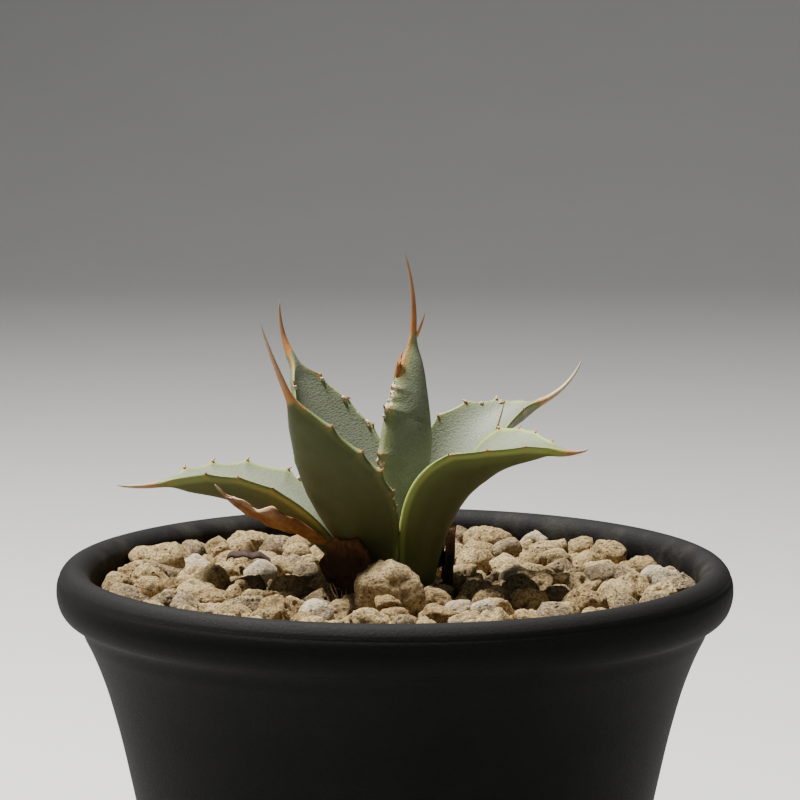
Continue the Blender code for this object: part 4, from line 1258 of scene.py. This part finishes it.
def build_grains():
    """Grains lying over the top of the grit bed."""
    low, high = STONE_CROWN + GRAIN_INSET, BED_REACH - GRAIN_INSET
    sides = GRAIN_SIDES
    ring = [(radius * math.cos(k * 2 * math.pi / sides), radius * math.sin(k * 2 * math.pi / sides),
             BED_TOP + GRAIN_LIFT) for radius in (low, high) for k in range(sides)]
    faces = [(k, sides + k, sides + (k + 1) % sides, (k + 1) % sides) for k in range(sides)]
    mesh = bpy.data.meshes.new("grains")
    mesh.from_pydata(ring, [], faces)
    declare("grit_grains", run_tree(grain_tree(), mesh, GRIT))


# ---- Dead leaf, dead leaf bases and fibres

DRIED_SMOOTHING = 6             # passes that even out the dead leaf's rings before it is folded
DRIED_FLATTENING = 0.35
DRIED_TAIL_FROM = 0.55
DRIED_TAIL_SLIM = 0.62
DRIED_FOLD, DRIED_PUCKER = 0.8 * MM, 0.22 * MM
DRIED_TEAR, DRIED_CURL = 0.7 * MM, 0.5 * MM     # of the margin, outward and up
SHEATH_CREASE = 0.42 * MM
SHEATH_TEAR = 0.55 * MM         # how ragged the top edge is
SHEATH_DROP = 0.50              # how much lower a sheet ends at its sides than in the middle
CURL_PLACE = (-22.9 * MM, 8.0 * MM, BED_TOP + 3.9 * MM)
CURL_LENGTH, CURL_WIDTH, CURL_THICKNESS = 6.0 * MM, 2.6 * MM, 0.32 * MM
CURL_TILT = 0.25 * MM           # its far edge over its near one
CURL_STEPS = 22
SHEATH_INWARD = 0.35 * MM       # the finished sheet reaches this much nearer the leaves
FIBRE_TUFTS = (
    # azimuths, distances out in mm, height over the bed in mm, longest in mm, how many
    ((206, 262), (6.0, 8.4), 0.0, 5.5, 24),
    ((212, 240), (9.6, 11.0), -0.6, 5.0, 18),
)


def build_dried_leaf():
    """A shrivelled leaf: folded along its run, puckered, with a torn and curled margin."""
    leaf = Grown("dried_leaf", DRIED_SMOOTHING)
    rows, columns = leaf.points.shape[:2]
    height = ((leaf.points - (leaf.left + leaf.right)[:, None] / 2) * leaf.upward[:, None]).sum(axis=2)
    leaf.points -= (DRIED_FLATTENING * height)[..., None] * leaf.upward[:, None]
    core = leaf.points.mean(axis=1, keepdims=True)
    tail = np.clip((leaf.run - DRIED_TAIL_FROM) / (1 - DRIED_TAIL_FROM), 0, 1)[:, None, None]
    leaf.points = core + (leaf.points - core) * (1 - DRIED_TAIL_SLIM * tail ** 0.7)
    for row in range(rows):
        station = leaf.wanted[row] / MM
        share = min(1.0, 4 * leaf.run[row]) * (1 - leaf.spine[row])
        for column in range(columns):
            across = leaf.across[column]
            fold = noise.noise(Vector((station * 0.16, across * 2.4, 3.0)))
            pucker = noise.noise(Vector((station * 0.7, across * 4.0, 9.0)))
            torn = noise.noise(Vector((station * 0.5, 5.0 + math.copysign(2.0, across), 0.0)))
            leaf.points[row, column] += leaf.upward[row] * (DRIED_FOLD * fold + DRIED_PUCKER * pucker) * share
            leaf.points[row, column] += leaf.outward[row] * across * abs(across) * torn * DRIED_TEAR * share
            leaf.points[row, column, 2] += DRIED_CURL * across * across * torn * share
    points = np.vstack([leaf.points.reshape(-1, 3), leaf.tip[None]])
    faces = tube_faces(rows, columns, len(points) - 1)
    # Paler, cream colour near the margins from about the middle of the run toward the tip, and partly on the
    # upper face.
    paler_rim = np.clip(1 - edge_distance(leaf) / 1.1, 0, 1) * np.clip((leaf.run - 0.45) / 0.3, 0, 1)[:, None]
    inside = np.append(np.maximum(paler_rim, leaf.upper[None, :] * 0.45).reshape(-1), 0.4)
    piece("dried_leaf_blade", points, faces, DRY_PALE, ["dried_leaf"], {"inside": inside})


def build_sheath(node):
    """A dead leaf's base: a thin sheet with upright creases and a ragged, paler top edge."""
    work = merged(node)
    bmesh.ops.subdivide_edges(work, edges=work.edges, cuts=3, use_grid_fill=True)
    low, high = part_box(node)
    middle_out = np.median([math.hypot(v.co.x, v.co.y) for v in work.verts])
    bisector = Vector(((low.x + high.x) / 2, (low.y + high.y) / 2, 0)).normalized()
    widest = max(bisector.angle(Vector((v.co.x, v.co.y, 0))) for v in work.verts)
    inside = []
    for vert in work.verts:
        turn = math.atan2(vert.co.y, vert.co.x)
        out = math.hypot(vert.co.x, vert.co.y)
        rise = (vert.co.z - low.z) / (high.z - low.z)
        crease = noise.noise(Vector((turn * 9.0, rise * 0.9, 1.0)))
        crease += 0.5 * noise.noise(Vector((turn * 24.0, rise * 2.4, 5.0)))
        ragged = noise.noise(Vector((turn * 30.0, 0.0, 2.0)))
        aside = bisector.angle(Vector((vert.co.x, vert.co.y, 0))) / widest
        drop = SHEATH_DROP * aside ** 3 * max(0.0, rise - 0.2) * (high.z - low.z)
        out += crease * SHEATH_CREASE - (SHEATH_INWARD if out < middle_out else 0.0)
        height = vert.co.z - drop + ragged * SHEATH_TEAR * max(0.0, rise - 0.4)
        vert.co = Vector((out * math.cos(turn), out * math.sin(turn), height))
        inside.append(min(1.0, max(0.0, (rise + 0.2 * ragged - 0.66) / 0.26)))
    points = [v.co.copy() for v in work.verts]
    faces = [[v.index for v in f.verts] for f in work.faces]
    work.free()
    # The sheet's dark colour is partly painted shade, for the deep shade that the base sits in.
    piece(node + "_sheet", points, faces, DRY_DARK, [node], {"inside": inside})


def build_curl():
    """A scrap of dead leaf, dry and curled, lying over the stones on the left."""
    points = []
    for k in range(CURL_STEPS + 1):
        along = k / CURL_STEPS
        lift = math.sqrt(math.sin(math.pi * along * 0.999)) + 0.14 * math.sin(19 * along) - 0.5 * along
        x, z = CURL_PLACE[0] + CURL_LENGTH * along, CURL_PLACE[2] + lift * MM
        half = CURL_WIDTH / 2 * (0.5 + 0.5 * math.sin(math.pi * along))
        wave = 0.5 * MM * math.sin(9 * along)
        for y, rise in ((-half, 0.0), (half, CURL_TILT), (half, CURL_TILT + CURL_THICKNESS),
                        (-half, CURL_THICKNESS)):
            points.append((x, CURL_PLACE[1] + wave + y, z + rise))
    faces = [(4 * k + i, 4 * k + 4 + i, 4 * k + 4 + (i + 1) % 4, 4 * k + (i + 1) % 4)
             for k in range(CURL_STEPS) for i in range(4)]
    faces += [(3, 2, 1, 0), tuple(4 * CURL_STEPS + i for i in range(4))]
    piece("dried_curl", points, faces, DRY_DARK, (), {"inside": np.zeros(len(points))})


def build_fibres():
    """Loose pale fibres standing behind the front leaf base and in the hollow beside it."""
    draw = random.Random(21)
    spots = []
    for (start, stop), (near, far), base, longest, count in FIBRE_TUFTS:
        for _ in range(count):
            azimuth = math.radians(draw.uniform(start, stop))
            out = draw.uniform(near, far) * MM
            height = BED_TOP + draw.uniform(base, base + 1) * MM
            place = (out * math.cos(azimuth), out * math.sin(azimuth), height)
            lean = Vector((math.cos(azimuth), math.sin(azimuth), 0)) * draw.uniform(-0.4, 0.5)
            aim = (lean + Vector((draw.gauss(0, 0.35), draw.gauss(0, 0.35), 1))).normalized()
            hook = Vector((draw.gauss(0, 1), draw.gauss(0, 1), 0.1)).normalized()
            length = draw.uniform(longest * 0.4, longest) * MM
            spots.append((place, aim, hook, (length * 0.8, length * 0.8, length)))
    declare("sheath_fibres", grown("fibres", FIBRES, spots, DRY_PALE, {"inside": 1.0}))


def build_hidden_parts():
    """The rootstock, the mix and the grit bed keep their CAD shapes."""
    for node, material in (("rootstock", DRY_DARK), ("potting_mix", MIX), ("grit_bed", GRIT)):
        for holder in NODES[node].material_slots:
            holder.material = material


# ---- Stage

FLOOR_NEAR, FLOOR_FAR, FLOOR_HALF = -2.5, 1.2, 4.0
SWEEP, BACKDROP_HEIGHT = 0.6, 3.0
LIGHTS = (
    # name, place over the rim, size, power, colour
    ("key_above", (-0.20, 0.10, 0.66), 0.15, 17.0, (1.0, 0.985, 0.95)),
    ("fill_front_left", (-0.55, -0.75, 0.45), 0.60, 0.45, (1.0, 1.0, 1.0)),
    ("fill_right", (0.75, -0.25, 0.30), 0.50, 0.15, (1.0, 1.0, 1.0)),
)
SKY_COLOUR, SKY_STRENGTH = (0.90, 0.93, 1.0, 1.0), 0.06
CAMERA_SENSOR, CAMERA_LENS = 36.0, 151.65       # in mm
CAMERA_PLACE = (0.67 * MM, -442.7 * MM, RIM_TOP + 80.5 * MM)
CAMERA_PITCH = 7.58             # degrees down


def build_stage():
    """A pale floor that sweeps up into a backdrop."""
    bends = np.linspace(0.15, math.pi / 2, 9)
    profile = [(FLOOR_NEAR, 0.0), (FLOOR_FAR, 0.0)]
    profile += [(FLOOR_FAR + SWEEP * math.sin(a), SWEEP - SWEEP * math.cos(a)) for a in bends]
    profile.append((FLOOR_FAR + SWEEP, BACKDROP_HEIGHT))
    points = [(x, y, z) for x in (-FLOOR_HALF, FLOOR_HALF) for y, z in profile]
    count = len(profile)
    faces = [(k, count + k, count + k + 1, k + 1) for k in range(count - 1)]
    mesh = bpy.data.meshes.new("backdrop")
    mesh.from_pydata(points, [], faces)
    mesh.materials.append(make_backdrop())
    mesh.shade_smooth()
    sweep = placed("backdrop", mesh)


def add_light(name, place, aim, size, power, colour):
    """A round soft light, aimed at a place."""
    data = bpy.data.lights.new(name, "AREA")
    data.shape = "DISK"
    data.size = size
    data.energy = power
    data.color = colour
    made = placed(name, data)
    made.location = place
    made.rotation_euler = (Vector(aim) - Vector(place)).to_track_quat("-Z", "Y").to_euler()


def build_lights():
    """A small strong lamp above, behind on the left, and weak fills, all aimed at the plant."""
    crown = (0.0, 0.0, RIM_TOP + 10 * MM)
    for name, (x, y, rise), size, power, colour in LIGHTS:
        add_light(name, (x, y, RIM_TOP + rise), crown, size, power, colour)
    world = bpy.data.worlds.new("studio")
    world.use_nodes = True
    sky = world.node_tree.nodes["Background"].inputs
    sky["Color"].default_value = SKY_COLOUR
    sky["Strength"].default_value = SKY_STRENGTH
    bpy.context.scene.world = world


def build_camera():
    """A long lens a little above the rim, looking slightly down."""
    data = bpy.data.cameras.new("camera")
    data.sensor_width = CAMERA_SENSOR
    data.lens = CAMERA_LENS
    data.clip_start = 0.05
    camera = placed("camera", data)
    camera.location = CAMERA_PLACE
    camera.rotation_euler = (math.radians(90 - CAMERA_PITCH), 0.0, 0.0)
    bpy.context.scene.camera = camera


build_stage()
build_lights()
build_camera()
build_pot()
for leaf_node in LEAF_LOOKS:
    build_leaf(leaf_node)
build_filler_stones(build_cad_stones())
build_grains()
build_dried_leaf()
build_sheath("dried_sheath_front")
build_sheath("dried_sheath_right")
build_fibres()
build_curl()
build_hidden_parts()
